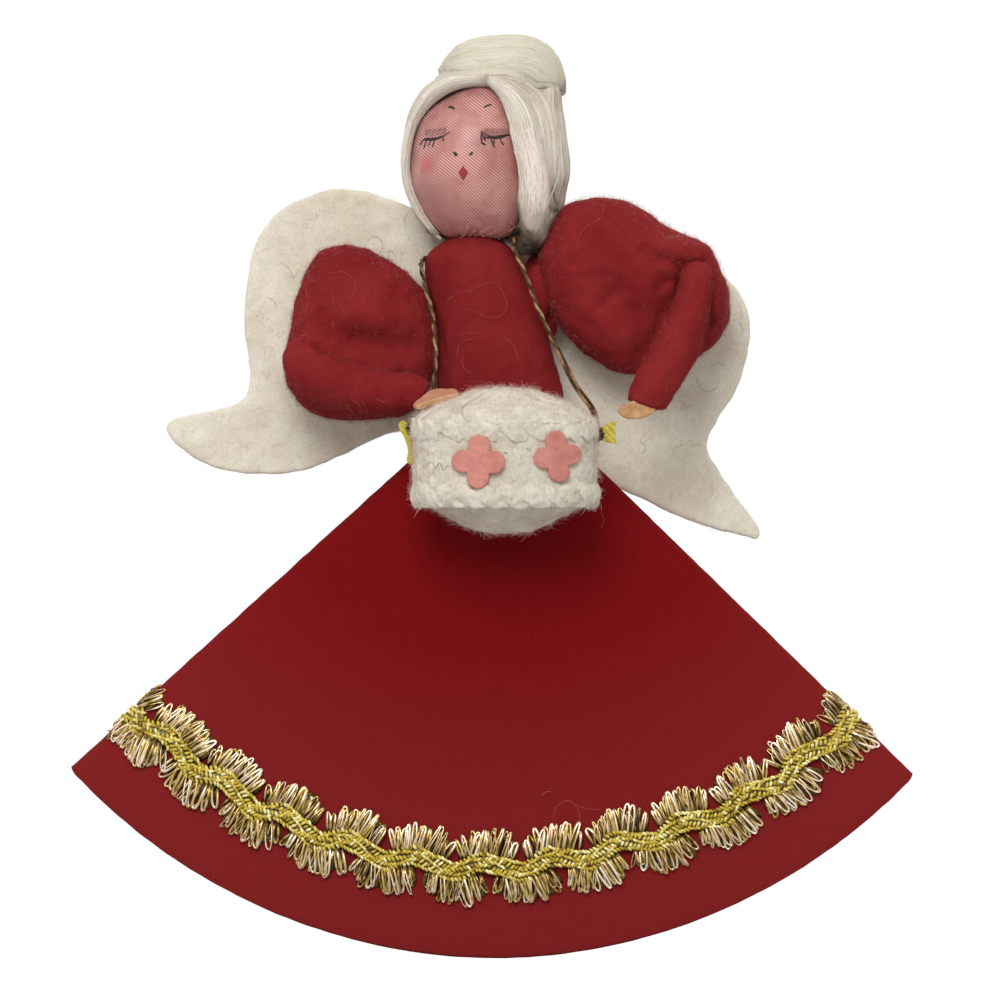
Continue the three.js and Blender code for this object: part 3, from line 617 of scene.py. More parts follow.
# The darkest tinsel colours paint the shade between the loops, the palest the highlights at their
# tips.
tinsel_stops = [
    (0, tone(58, 38, 18)), (0.25, tone(126, 98, 44)), (0.5, tone(196, 168, 88)),
    (0.75, tone(226, 194, 150)),
    (1, tone(255, 242, 214)),
]
tinsel = streaked("tinsel", tinsel_stops, 0.3, Metallic=0.6)
# The darkest plait colour is painted shade under the beads, the palest painted highlights on them.
plait_stops = [
    (0, tone(74, 52, 16)), (0.3, tone(170, 140, 30)), (0.65, tone(214, 190, 66)),
    (1, tone(254, 248, 184)),
]
plait_yarn = streaked("plait_yarn", plait_stops, 0.36)
cord_stops = [(0, tone(44, 26, 16)), (0.55, tone(94, 64, 42)), (1, tone(172, 132, 92))]
brown_yarn = streaked("brown_yarn", cord_stops, 0.7, Specular_IOR_Level=0.2)
lash_ink = streaked("lash_ink", [(0, tone(44, 24, 24)), (1, tone(64, 38, 38))], 0.7)
lid_ink = streaked("lid_ink", [(0, tone(104, 70, 70)), (1, tone(132, 92, 92))], 0.8)
lip_ink = streaked("lip_ink", [(0, tone(140, 30, 46)), (1, tone(160, 44, 58))], 0.6)

# %% [markdown]
# ## The neck strap
# A thin brown cord of two twisted plies goes from one side of the drum, over the shoulders and
# round the back of the neck, to the other side. Two helices round one given line make it, as a
# rope is laid. It could be a plain tube with a bump, but the twist shows in the outline.

# %% The strap's route and twist
strap_route = [Vector(point) * mm for point in (
    (18.0, -21.6, 13.6), (18.2, -20.2, 15.4), (17.4, -18.3, 18.2), (14.3, -15.9, 22.6),
    (10.5, -13.2, 30.2), (8.2, -11.5, 35), (6.3, -9.8, 39.7), (4.1, -7.8, 45.4), (2.4, -5.6, 49.2),
    (2.6, -1.5, 50.6), (0.4, 3.8, 50.2), (-3.4, 7.0, 49.4), (-8.2, 7.3, 48.4), (-12.2, 5.2, 47.5),
    (-14.4, 1.4, 46.7), (-15.0, -2.6, 45.6), (-14.4, -5.4, 42.2), (-12.9, -9, 36),
    (-12.3, -11.2, 31), (-12.3, -12.9, 26), (-12.9, -13.9, 21.5), (-15.1, -15, 18),
    (-16.9, -17.4, 15.8),
)]
cord_width = 1.0 * mm
lay_length = 5.0 * mm
ply_points_a_turn = 14
ply_offset_share = 0.2
open_run = 19 * mm
open_offset_share = 0.36


def twist(line, width, plies=2):
    """The paths of plies laid round a line. They lie open, side by side, at its start."""
    far = length_of(line)
    points = round(far / lay_length * ply_points_a_turn)
    line = smooth_line(line, points)
    along = np.gradient(line, axis=0)
    along /= np.linalg.norm(along, axis=1, keepdims=True)
    side = np.cross(along, (0.3, -0.7, 0.65))
    side /= np.linalg.norm(side, axis=1, keepdims=True)
    out = np.cross(side, along)
    run = np.linspace(0, far, points)
    angle = (np.maximum(0, run - open_run) / lay_length * 2 * math.pi)[:, None]
    open_share = np.clip((open_run - run) / (4 * mm), 0, 1)[:, None]
    offset = width * (ply_offset_share + (open_offset_share - ply_offset_share) * open_share)
    paths = []
    for ply in range(plies):
        turn = angle + 2 * math.pi * ply / plies
        paths.append(line + offset * (side * np.cos(turn) + out * np.sin(turn)))
    return paths


strap_line = smooth_line(strap_route, 160)
plies = twist(strap_line, cord_width)
# Painted highlights: each ply is paler and darker by turns along its length, as the twist catches
# the light.
ply_glints = []
for k, ply in enumerate(plies):
    ply_glint = 0.5 + 0.4 * np.sin(np.arange(len(ply)) * 0.22 + 3 * k)
    ply_glints.append(np.clip(ply_glint + chance.normal(0, 0.1, len(ply)), 0, 1))
strap = strands("neck_strap", plies, cord_width * (1 - 2 * ply_offset_share), sides=8, shades=ply_glints)
hand_over(strap, "root", "brown_cord", brown_yarn, "strap_cord")

# %% [markdown]
# ## The studio
# The light is soft and level, so that a colour looks about as it is written. The world is white
# to the camera and in reflections, and dimmer as a lamp. A panel in front and above gives the
# forms some shade below, and a weaker one lights the back. The floor shows white but keeps a
# faint shadow.

# %% World, lamps and floor
sky_strength = 0.70
ground_strength = 0.22
key_power = 7.4
horizon_blur = 0.6
floor_size = 1.2
floor_glow = 1.12
floor_white_share = 0.86
world = bpy.data.worlds.new("studio")
bpy.context.scene.world = world
world.use_nodes = True
sky = world.node_tree
background = sky.nodes["Background"]
background.inputs["Color"].default_value = grey(1)
direction = sky.nodes.new("ShaderNodeTexCoord")
upward = sky.nodes.new("ShaderNodeSeparateXYZ")
dimmed = sky.nodes.new("ShaderNodeMapRange")
dimmed.inputs["From Min"].default_value = -horizon_blur
dimmed.inputs["From Max"].default_value = horizon_blur
dimmed.inputs["To Min"].default_value = ground_strength
dimmed.inputs["To Max"].default_value = sky_strength
sky.links.new(direction.outputs["Generated"], upward.inputs[0])
sky.links.new(upward.outputs["Z"], dimmed.inputs["Value"])
brightest = dimmed.outputs[0]
ray = sky.nodes.new("ShaderNodeLightPath")
for kind in ("Is Camera Ray", "Is Glossy Ray", "Is Transmission Ray"):
    either = sky.nodes.new("ShaderNodeMath")
    either.operation = "MAXIMUM"
    sky.links.new(brightest, either.inputs[0])
    sky.links.new(ray.outputs[kind], either.inputs[1])
    brightest = either.outputs[0]
sky.links.new(brightest, background.inputs["Strength"])


def panel(name, at, power, size):
    nothing()
    bpy.ops.object.light_add(type="AREA", location=at)
    lamp = newest(name)
    lamp.data.energy = power
    lamp.data.size = size
    lamp.rotation_euler = (-Vector(at)).to_track_quat("-Z", "Y").to_euler()


panel("key_panel", (-0.15, -0.95, 0.60), key_power, 0.5)
panel("back_panel", (0.4, 0.7, 0.6), key_power / 2, 0.6)

floor_drop = 2 * mm
nothing()
bpy.ops.mesh.primitive_plane_add(size=floor_size, location=(0, 0, cad_low.z - floor_drop))
floor = newest("floor")
floor_finish = Finish("pale_floor", Roughness=0.9)
floor_finish.shader.inputs["Base Color"].default_value = grey(0.5)
glow = floor_finish.add("ShaderNodeEmission", Strength=floor_glow)
light_path = floor_finish.add("ShaderNodeLightPath")
share = floor_finish.add("ShaderNodeMath", {"operation": "MULTIPLY"})
share.inputs[1].default_value = floor_white_share
floor_finish.tree.links.new(light_path.outputs["Is Camera Ray"], share.inputs[0])
blend = floor_finish.add("ShaderNodeMixShader", Fac=share.outputs[0])
floor_finish.tree.links.new(floor_finish.shader.outputs[0], blend.inputs[1])
floor_finish.tree.links.new(glow.outputs[0], blend.inputs[2])
surface = floor_finish.tree.nodes["Material Output"].inputs["Surface"]
floor_finish.tree.links.new(blend.outputs[0], surface)
floor.data.materials.append(floor_finish.made)
floor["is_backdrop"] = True

# %% [markdown]
# ## The skirt
# The real skirt is a half circle of felt, rolled into a cone and pressed nearly flat. A grid is
# rolled the same way: its columns go round the cone and its rows go down the outside, round the
# hem and back up the inside, so the felt has a true thickness and a rounded fold at each side.

# %% The pressed cone
skirt_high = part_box("skirt")[1]
half_angle = math.radians(46.8)
hem_slant = skirt_high.x / math.sin(half_angle) + 0.5 * mm
felt_thickness = 1.2 * mm
waist_half_width = 13.95 * mm
waist_half_depth = 9.55 * mm
hem_half_depth = 10.2 * mm
waist_slant = waist_half_width / math.sin(half_angle)
skirt_turn = math.radians(1.05)
uneven_hem = 0.011
fold = 1.1 * mm
corner = 1.1 * mm


def on_cone(slant, way_round, out):
    """A point of the pressed cone, out from the felt's outer face."""
    down = min(max((slant - waist_slant) / (hem_slant - waist_slant), 0), 1)
    half_depth = waist_half_depth + (hem_half_depth - waist_half_depth) * down
    sharpness = 1 + down
    s, c = math.sin(way_round), math.cos(way_round)
    sideways = math.sin(half_angle) * c
    slant = slant * (1 - uneven_hem * c)
    edge = slant * math.sin(half_angle) * (1 - abs(c))
    rounded = math.sqrt(max(0, 1 - (1 - min(edge / fold, 1)) ** 2))
    bulge = fold * rounded + (half_depth - fold) * abs(s) ** sharpness + out * min(1, abs(s) * 2)
    x = slant * sideways + math.copysign(out, c) * (1 - min(1, abs(s) * 2))
    z = -slant * math.sqrt(1 - sideways**2)
    turned_x = x * math.cos(skirt_turn) + z * math.sin(skirt_turn)
    turned_z = z * math.cos(skirt_turn) - x * math.sin(skirt_turn)
    return Vector((turned_x + cone_point.x, -math.copysign(bulge, s), cone_point.z + turned_z))


outer_rows, hem_rows, inner_rows = 60, 6, 24
rim = felt_thickness / 2
skirt_profile = []
for step in range(outer_rows + 1):
    slant = waist_slant + (hem_slant - rim - waist_slant) * step / outer_rows
    skirt_profile.append((slant, 0))
for step in range(1, hem_rows):
    bend = math.pi * step / hem_rows
    skirt_profile.append((hem_slant - rim + rim * math.sin(bend), -rim + rim * math.cos(bend)))
for step in range(inner_rows + 1):
    skirt_profile.append(
        (hem_slant - (hem_slant - waist_slant) * step / inner_rows - rim, -felt_thickness))
skirt_profile.append(skirt_profile[0])
skirt_columns = 220


def skirt_place(i, j):
    slant, out = skirt_profile[j]
    way_round = 2 * math.pi * (i % skirt_columns) / skirt_columns
    edge = slant * math.sin(half_angle) * (1 - abs(math.cos(way_round)))
    down = max(0, (slant - waist_slant) / hem_slant)
    lifted = corner * max(0, 1 - edge / corner) ** 2 * down**6
    if out < 0:
        inset = -out * 3.5
        place = on_cone(slant - lifted, way_round, 0)
        inward = Vector((-math.cos(way_round) * inset, math.sin(way_round) * -out, 0))
        return place + inward
    return on_cone(slant - lifted, way_round, out)


skirt = rolled("skirt_felt", skirt_columns, len(skirt_profile) - 1, skirt_place)
felted(skirt, 2.6 * mm, 0.10 * mm)
hand_over(skirt, "root", "red_felt", skirt_red, "skirt")
fluff(
    "skirt_fuzz", skirt, "root", "red_felt", skirt_fuzz_red, 6000, 0.9 * mm, 0.03 * mm, lift=0.3)

# %% [markdown]
# ## The gold braid
# Trimming of this kind has a plaited yellow core with fans of flat tinsel loops that stand out
# above and below it by turns. Each loop is a narrow strip bent into a hairpin. One fan is worked
# out by a formula, and it is repeated at every place round the hem, front and back.

# %% Places round the hem
braid_slant = 93.7 * mm
braid_dip = 1.1 * mm
dip_at, dip_reach = math.radians(16), math.radians(10)
fans_a_side = 12
front_start = math.radians(-41.3)
front_pitch = math.radians(8.04)
back_pitch = math.radians(8.3)
lower_lag = math.radians(-3.5)


def round_hem(angle, slant, out):
    """A point over the felt, by its angle about the cone's point. Past a fold it is on the back."""
    slant -= braid_dip * math.exp(-(((angle - dip_at) / dip_reach) ** 2))
    side = 1
    if angle > half_angle:
        angle, side = 2 * half_angle - angle, -1
    if angle < -half_angle:
        angle, side = -2 * half_angle - angle, -side
    way = math.acos(min(1, max(-1, math.sin(angle) / math.sin(half_angle))))
    return on_cone(slant, side * way, out)


fan_angles = [front_start + front_pitch * k for k in range(fans_a_side)]
back_start = fan_angles[-1] + back_pitch
fan_angles += [back_start + back_pitch * k for k in range(fans_a_side)]
fan_reach = 7.3 * mm
fan_half = math.radians(3.3)
# The first layer is broad dark strips under the others: painted shade in the gaps between the
# loops.
# Each layer of a fan: how many loops, the share of the reach, strip width, brightness and lean.
layers = (
    (11, 0.86, 1.2 * mm, 0.08, 0.2),
    (8, 0.97, 0.58 * mm, 0.40, -0.15),
    (9, 1.0, 0.56 * mm, 0.48, 0.35),
)
loop_points = 17
loop_gap = math.radians(0.26)
wave_height = 1.0 * mm
foot = 1.2 * mm


def core_slant(angle):
    """The plaited core swings up under an upper fan and down under a lower one."""
    phase = 2 * math.pi * (angle - front_start) / front_pitch
    return braid_slant - wave_height * math.cos(phase)


def hairpin(angle, side, across, layer, share, leaning):
    """One tinsel loop: out from the core to the fan's rim, round, and back beside itself."""
    base = angle + fan_half * 0.8 * across
    lean = fan_half * (leaning + chance.normal(0, 0.16)) * (1 - 0.6 * abs(across))
    tip = angle + fan_half * 0.98 * across + lean
    rim = 1 - 0.34 * min(1, abs(across)) ** 2.6
    reach = fan_reach * rim * share * chance.uniform(0.92, 1.04)
    gap = loop_gap * chance.uniform(0.5, 1.5)
    height = (0.2 + 0.3 * layer) * mm
    path, shade = [], []
    for t in np.linspace(0, 1, loop_points):
        go = 1 - abs(2 * t - 1) ** 2.4
        spread = gap * math.cos(math.pi * t) * (1 + 0.4 * go)
        middle = base + (tip - base) * go
        slant = braid_slant - side * (foot + (reach - foot) * go)
        rise = height + 0.5 * mm * math.sin(math.pi * go) + 0.14 * mm * math.cos(math.pi * t)
        path.append(round_hem(middle + spread, slant, rise))
        # Painted highlight: the strip gets paler towards the loop's tip.
        shade.append(0.34 * go)
    return path, shade


loop_paths, loop_facing, loop_shades, loop_widths = [], [], [], []
for angle in fan_angles:
    for side in (1, -1):
        centre = angle + (lower_lag if side < 0 else 0)
        outward = round_hem(centre, braid_slant, 1 * mm) - round_hem(centre, braid_slant, 0)
        for layer, (loops_here, share, broad, bright, leaning) in enumerate(layers):
            for k in range(loops_here):
                across = 2 * k / (loops_here - 1) - 1
                across += chance.normal(0, 0.04)
                path, shade = hairpin(centre, side, across, layer, share, leaning)
                loop_paths.append(path)
                tilt = Vector(chance.normal(0, 0.45, 3)) * outward.length
                loop_facing.append(outward + tilt)
                # Painted glints along each strip; the dark first layer keeps them faint.
                glint = chance.normal(0, 0.2) + chance.normal(0, 0.18, loop_points)
                if layer == 0:
                    shade, glint = np.array(shade) * 0.3, glint * 0.3
                loop_shades.append(np.clip(bright + np.array(shade) + glint, 0, 1))
                loop_widths.append([broad * chance.uniform(0.75, 1.3)] * loop_points)
facing = np.array(loop_facing)[:, None]
loops = strands(
    "tinsel_loops", loop_paths, np.array(loop_widths), 0.14 * mm, 4, facing, 1.0, loop_shades)
hand_over(loops, "root", "gold_braid", tinsel, "hem_braid")

# %% [markdown]
# ## The core of the braid
# A flat yellow plait runs down the middle of the braid, hides the feet of the loops and swings up
# and down with the fans. Five rows of short beads that slant one way and the other by turns read
# as a plait. A flat dark strip under them is painted shade in the gaps between the beads.

# %% The plaited core
bead_pitch = math.radians(0.44)
# Each row of beads: its distance from the middle, which way it slants and how far it stands out.
bead_rows = (
    (-1.6 * mm, 1, 0.0), (-0.85 * mm, -1, 0.15), (-0.05 * mm, 1, 0.25), (0.75 * mm, -1, 0.15),
    (1.5 * mm, 1, 0.0),
)
round_trip = 4 * half_angle
bead_paths, bead_shades = [], []
bead_count = int(round_trip / bead_pitch)
for row, (offset, slope, raised) in enumerate(bead_rows):
    for k in range(bead_count):
        angle = front_start - front_pitch / 2 + round_trip * (k + 0.5 * (row % 2)) / bead_count
        half = bead_pitch * chance.uniform(0.52, 0.68)
        lifted = chance.uniform(-0.14, 0.14) * mm
        shift = chance.normal(0, 0.10) * mm
        along = 2 * math.pi * (angle - front_start) / front_pitch
        weave_off = 0.22 * mm * math.sin(along * 2 + row * 1.7)
        path = []
        for t in (-1, -0.5, 0, 0.5, 1):
            slant = core_slant(angle) + offset + weave_off + shift + slope * t * 0.42 * mm
            rise = (0.95 + raised) * mm + lifted + 0.3 * mm * (1 - t * t)
            path.append(round_hem(angle + half * t, slant, rise))
        bead_paths.append(path)
        # A random shade for each bead; the palest beads are painted highlights.
        bead_shades.append(np.clip(0.6 + chance.normal(0, 0.22), 0.1, 1))
plait = strands(
    "plaited_core", bead_paths, 0.62 * mm, 0.52 * mm, 6, (0.1, -1, 0.1), 0.3, bead_shades)
hand_over(plait, "root", "gold_braid", plait_yarn)
# Painted shade: a dark strip under the beads fills the gaps between them.
under_path = []
under_steps = 720
for k in range(under_steps + 1):
    angle = front_start - front_pitch / 2 + round_trip * k / under_steps
    under_path.append(round_hem(angle, core_slant(angle), 0.6 * mm))
gap_shade_strip = strands(
    "braid_gap_shade", [under_path], 3.2 * mm, 0.7 * mm, 8, (0.1, -1, 0.1), 1.0, [0.06])
hand_over(gap_shade_strip, "root", "gold_braid", plait_yarn)
print("tinsel loops:", len(loop_paths), "plait stitches:", len(bead_paths))

# %% [markdown]
# ## The bodice
# The bodice is a felt tube over pressed cotton. Rows of ovals follow its outline in the picture,
# wide at the waist and rounded over the shoulders, and a grid is rolled round them.

# %% Bodice outline, row by row
bodice_rows = [
    (504, 434, 566), (470, 434, 566), (430, 436, 567), (400, 437, 564), (385, 437, 562),
    (365, 438, 556), (345, 438, 550), (325, 437, 545), (310, 434, 540), (290, 428, 533),
    (275, 425, 527), (262, 424, 522), (252, 429, 515), (245, 437, 508), (239, 446, 499),
    (233, 454, 492), (228, 464, 484), (226, 472, 478),
]
torso_half_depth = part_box("torso_cover")[1].y
shoulder_half_depth = 7.4 * mm
full_half_width = 46
rows_to_shoulder = 250
bodice_columns, bodice_steps = 96, 102


def bodice_place(i, j):
    share = j / bodice_steps
    at = share * (len(bodice_rows) - 1)
    k = min(int(at), len(bodice_rows) - 2)
    t = at - k
    row, left, right = ((1 - t) * a + t * b for a, b in zip(bodice_rows[k], bodice_rows[k + 1]))
    middle, half = (left + right) / 2, (right - left) / 2
    up = min(max((zero_row - row) / rows_to_shoulder, 0), 1)
    full_depth = torso_half_depth + (shoulder_half_depth - torso_half_depth) * up
    depth = full_depth * min(half, full_half_width) / full_half_width
    turn = 2 * math.pi * (i % bodice_columns) / bodice_columns
    centre = seen(middle, row)
    if j in (0, bodice_steps):
        return centre
    return centre + Vector((half * pixel * math.cos(turn), depth * math.sin(turn), 0))


bodice = melted("bodice_felt", [
    rolled("bodice_tube", bodice_columns, bodice_steps, bodice_place),
    blob(541, 298, 3.4, (4.2, 3.4, 9.0)),
    blob(539, 291, -0.4, (3.0, 3.4, 5.4)),
    blob(434, 334, 3.4, (3.4, 3.4, 8.6)),
], 0.42 * mm, 3)
felted(bodice, 2.2 * mm, 0.18 * mm)
hand_over(bodice, "root", "red_felt", red_felt, "torso_cover", "torso_core")
fluff("bodice_fuzz", bodice, "root", "red_felt", red_fuzz, 2600, 1.1 * mm, 0.03 * mm, lift=0.4)

# %% [markdown]
# ## The puff sleeves
# Each puff is a stuffed felt bag, drawn in by thread where the forearm comes out. The solid gives
# its room. Its outline is then fitted to the picture, and gathers are pressed in: a dimple where
# the thread pulls, and folds that fan out from it and fade.

# %% Fitting an outline and gathering
def reach_of(outline, centre, angle):
    """How far an outline lies from a centre in one direction."""
    way = np.array([math.cos(angle), math.sin(angle)])
    best = 0.0
    loop = [
        np.array([(column - zero_column) * pixel, (zero_row - row) * pixel]) - centre
        for column, row in outline
    ]
    for a, b in zip(loop, loop[1:] + loop[:1]):
        matrix = np.array([way, a - b]).T
        if abs(np.linalg.det(matrix)) > 1e-12:
            far, along = np.linalg.solve(matrix, a)
            if far > 0 and 0 <= along <= 1:
                best = max(best, far)
    return best


def fit_outline(piece, outline, most=3 * mm, sectors=72):
    """Scales a form round its middle, so that it fills the outline that is seen in front."""
    points = np.array([point.co for point in piece.data.vertices])
    low, high = points.min(0), points.max(0)
    centre = np.array([(low[0] + high[0]) / 2, (low[2] + high[2]) / 2])
    flat = points[:, [0, 2]] - centre
    far = np.linalg.norm(flat, axis=1)
    bearing = (np.arctan2(flat[:, 1], flat[:, 0]) / (2 * math.pi)) % 1 * sectors
    sector = bearing.astype(int) % sectors
    ratio = np.ones(sectors)
    for k in range(sectors):
        now = far[sector == k].max() if (sector == k).any() else 0
        want = reach_of(outline, centre, 2 * math.pi * (k + 0.5) / sectors)
        if now > 0 and want > 0:
            ratio[k] = min(max(want, now - most), now + most) / now
    wrapped = np.concatenate([ratio[-3:], ratio, ratio[:3]])
    ratio = np.convolve(wrapped, np.ones(3) / 3, "same")[3:-3]
    ring = [ratio[-1], *ratio, ratio[0]]
    scale = np.interp(bearing - 0.5, np.arange(-1, sectors + 1), ring)
    for point, by in zip(piece.data.vertices, scale):
        point.co.x = centre[0] + (point.co.x - centre[0]) * by
        point.co.z = centre[1] + (point.co.z - centre[1]) * by
    piece.data.update()


def stroke(piece, line, depth, width):
    """Presses a valley into the front along a line, or raises a ridge where depth is below 0."""
    places = np.array([point.co for point in piece.data.vertices])
    normals = np.array([point.normal for point in piece.data.vertices])
    flat = places[:, [0, 2]]
    route = smooth_line([(*point, 0) for point in line], 4 * len(line) + 1)[:, :2]
    route = (route - [zero_column, zero_row]) * [pixel, -pixel]
    away = np.full(len(flat), 1.0)
    along = np.zeros(len(flat))
    for k, (a, b) in enumerate(zip(route, route[1:])):
        way = b - a
        t = np.clip((flat - a) @ way / (way @ way), 0, 1)
        far = np.linalg.norm(flat - a - t[:, None] * way, axis=1)
        nearer = far < away
        away[nearer] = far[nearer]
        along[nearer] = (k + t[nearer]) / (len(route) - 1)
    fade = np.minimum(1, 4 * np.minimum(along, 1 - along) + 0.25)
    in_front = np.clip(-normals[:, 1] * 1.4, 0, 1)
    push = depth * mm * np.exp(-((away / (width * mm)) ** 2)) * fade * in_front
    for point, by in zip(piece.data.vertices, push):
        point.co.y += by
    piece.data.update()


# %% [markdown]
# ## Two puffs, two sets of folds
# The puffs aren't alike: one forearm lies across the lower edge of its puff, the other hangs down
# beside it. Each puff gets its own outline, a few balls that fill it next to the forearm, and its
# own valleys and ridges, each a line with a depth and a width. Pink fibres stand at the rim, paler
# than the felt: painted light where the fibres catch it.

# %% Both puffs
right_puff_outline = [
    (316, 250), (341, 244), (362, 246), (389, 260), (412, 276), (425, 292), (433, 313), (436, 342),
    (434, 377), (412, 413), (395, 417), (351, 421), (318, 417), (295, 401), (284, 380), (285, 346),
    (291, 329), (293, 304), (303, 277),
]
left_puff_outline = [
    (539, 255), (547, 231), (556, 214), (568, 201), (594, 197), (618, 197), (645, 209), (665, 225),
    (681, 233), (702, 239), (715, 253), (720, 269), (729, 285), (731, 308), (728, 328), (713, 347),
    (696, 359), (655, 376), (619, 374), (602, 365), (578, 348), (559, 325), (543, 295), (538, 272),
]
puff_voxel = 0.42 * mm
right_puff = soft_copy("right_puff_felt", ["right_puff_sleeve"], puff_voxel, 6, [
    blob(316, 343, -5.0, (3.4, 4.6, 2.8)),
    blob(334, 350, -5.6, (4.0, 4.8, 3.0)),
    blob(355, 358, -6.2, (4.2, 4.8, 3.0)),
    blob(378, 366, -6.8, (4.2, 4.8, 3.0)),
])
fit_outline(right_puff, right_puff_outline)
for line, depth, width in (
    ([(346, 342), (372, 345), (402, 347), (424, 352)], 1.9, 3.0),
    ([(340, 334), (350, 337), (360, 336)], 0.8, 1.7),
    ([(323, 306), (317, 320), (317, 332)], 0.6, 1.3),
    ([(306, 300), (301, 322), (300, 345), (300, 360)], -1.0, 2.4),
    ([(334, 312), (362, 316), (392, 318)], -0.8, 3.0),
    ([(348, 346), (353, 336), (356, 328)], 0.45, 0.7),
    ([(406, 300), (416, 330), (414, 360)], -0.6, 2.4),
):
    stroke(right_puff, line, depth, width)
left_puff = soft_copy("left_puff_felt", ["left_puff_sleeve"], puff_voxel, 6, [
    blob(688, 249, -6.4, (6.4, 5.0, 3.8), 10),
    blob(668, 268, -5.6, (4.2, 5.0, 4.0), 20),
    blob(711, 272, -4.6, (3.0, 5.4, 5.0)),
    blob(715, 292, -4.8, (2.8, 5.2, 6.4)),
])
fit_outline(left_puff, left_puff_outline)
for line, depth, width in (
    ([(636, 368), (652, 340), (664, 314), (674, 290)], 1.9, 2.4),
    ([(600, 290), (628, 310), (654, 320)], 1.8, 4.0),
    ([(598, 268), (602, 286), (616, 304)], 0.9, 4.0),
    ([(640, 244), (652, 254), (664, 262)], 0.8, 1.3),
    ([(656, 292), (664, 284), (670, 277)], 0.8, 1.1),
    ([(648, 230), (668, 240), (690, 246)], -0.4, 1.8),
    ([(674, 265), (690, 263), (708, 262)], 0.6, 0.7),
    ([(712, 312), (708, 330), (700, 345)], 0.9, 1.3),
):
    stroke(left_puff, line, depth, width)
# Painted light: paler fibres gathered at the sides of the puffs and forearms.
rim_fibres = dict(lift=1.5, curl=1.6, at_edges=1.0)
for side, puff in (("right", right_puff), ("left", left_puff)):
    soften(puff, 3)
    felted(puff, 2.2 * mm, 0.2 * mm)
    hand_over(puff, "root", "red_felt", red_felt, f"{side}_puff_sleeve")
    for name, finish, count, length, width, ways in (
        ("fuzz", red_fuzz, 4200, 1.2 * mm, 0.032 * mm, dict(lift=0.45)),
        ("fringe", pink_fringe_and_rim_light, 3800, 1.15 * mm, 0.028 * mm, rim_fibres),
    ):
        name = f"{side}_puff_{name}"
        fluff(name, puff, "root", "red_felt", finish, count, length, width, **ways)

# %% [markdown]
# ## Forearms and hands
# The forearms are narrow felt tubes on a wire, a little puckered at the elbow. The hands are flat
# mittens. Both lie where the solids are and ride on the forearm bodies, so they swing with the
# elbow. A sleeve is a grid rolled round a line, which keeps its width and depth in hand.

# %% Sleeves and mittens
skin = Finish("hand_skin", Roughness=0.4)
skin.paint(
    skin.ramp(skin.speckle(1.6 * mm, 3), (0.3, tone(168, 118, 74)), (0.7, tone(198, 152, 102))))
skin.relief(skin.speckle(0.4 * mm, 4), 0.08 * mm, 0.4)
lining = Finish("hand_lining", Roughness=0.7)
lining.paint(
    lining.ramp(lining.speckle(2 * mm, 3), (0.3, tone(168, 108, 82)), (0.7, tone(190, 132, 104))))
lining.relief(lining.speckle(0.3 * mm, 4), 0.1 * mm, 0.5)
sleeve_columns = 48


def sleeve_form(name, spine):
    """A closed felt tube along a line of (column, row, half width in columns, y, half depth)."""
    keys = np.array(spine, float)
    line = smooth_line(keys[:, :3], 60)
    share = np.linspace(0, len(keys) - 1, 60)
    depths = np.array([np.interp(share, range(len(keys)), keys[:, k]) for k in (3, 4)]).T * mm
    steps = len(line) - 1
    ways = np.gradient(line[:, :2], axis=0)
    ways /= np.linalg.norm(ways, axis=1, keepdims=True)

    def place(i, j):
        column, row, half = line[j]
        y, deep = depths[j]
        begun, left = min(1, 9 * j / steps), min(1, 40 * (1 - j / steps))
        ends = math.sqrt(max(0, 1 - (1 - begun) ** 2)) * math.sqrt(max(0, 1 - (1 - left) ** 2))
        turn = 2 * math.pi * (i % sleeve_columns) / sleeve_columns
        off = half * ends * math.cos(turn)
        forward = y + deep * ends * math.sin(turn)
        return seen(column + ways[j][1] * off, row - ways[j][0] * off, forward)

    tube = rolled(name, sleeve_columns, steps, place)
    apply(tube, "REMESH", mode="VOXEL", voxel_size=0.36 * mm)
    return soften(smooth(tube), 3)


sleeves = {
    "left": [
        (698, 258, 12, -8.4, 3.6), (697, 268, 15.5, -9.4, 4.3), (696, 285, 17, -10.2, 4.6),
        (692, 303, 18.5, -11.0, 4.8), (687, 322, 20, -12.0, 4.8), (678, 346, 22, -13.0, 4.8),
        (666, 367, 22.5, -14.5, 4.5), (654, 387, 22, -15.8, 4.2), (648, 399, 20.5, -16.8, 3.7),
        (645, 408, 20, -17.3, 3.3),
    ],
    "right": [
        (308, 336, 14, -5.0, 3.4), (304, 348, 19, -6.2, 4.6), (308, 366, 25, -7.4, 5.8),
        (326, 379, 25.5, -8.6, 6.6), (347, 386, 25.5, -9.8, 6.6), (370, 391, 24, -11.4, 6.2),
        (392, 393, 21, -13.4, 5.4), (410, 392, 18.5, -15.4, 4.4), (424, 399, 17.5, -16.6, 3.8),
    ],
}
puckers = {
    "left": [([(684, 300), (690, 296), (702, 294)], 0.35, 0.8),
    ([(672, 330), (684, 328)], 0.3, 0.9),
             ([(708, 280), (706, 310), (700, 336)], -0.4, 1.2)],
    "right": [([(303, 392), (312, 398), (326, 402)], 0.7, 0.8),
    ([(298, 376), (318, 392), (340, 398)], 0.3, 1.2),
              ([(316, 352), (345, 366), (390, 378)], -0.3, 1.4)],
}
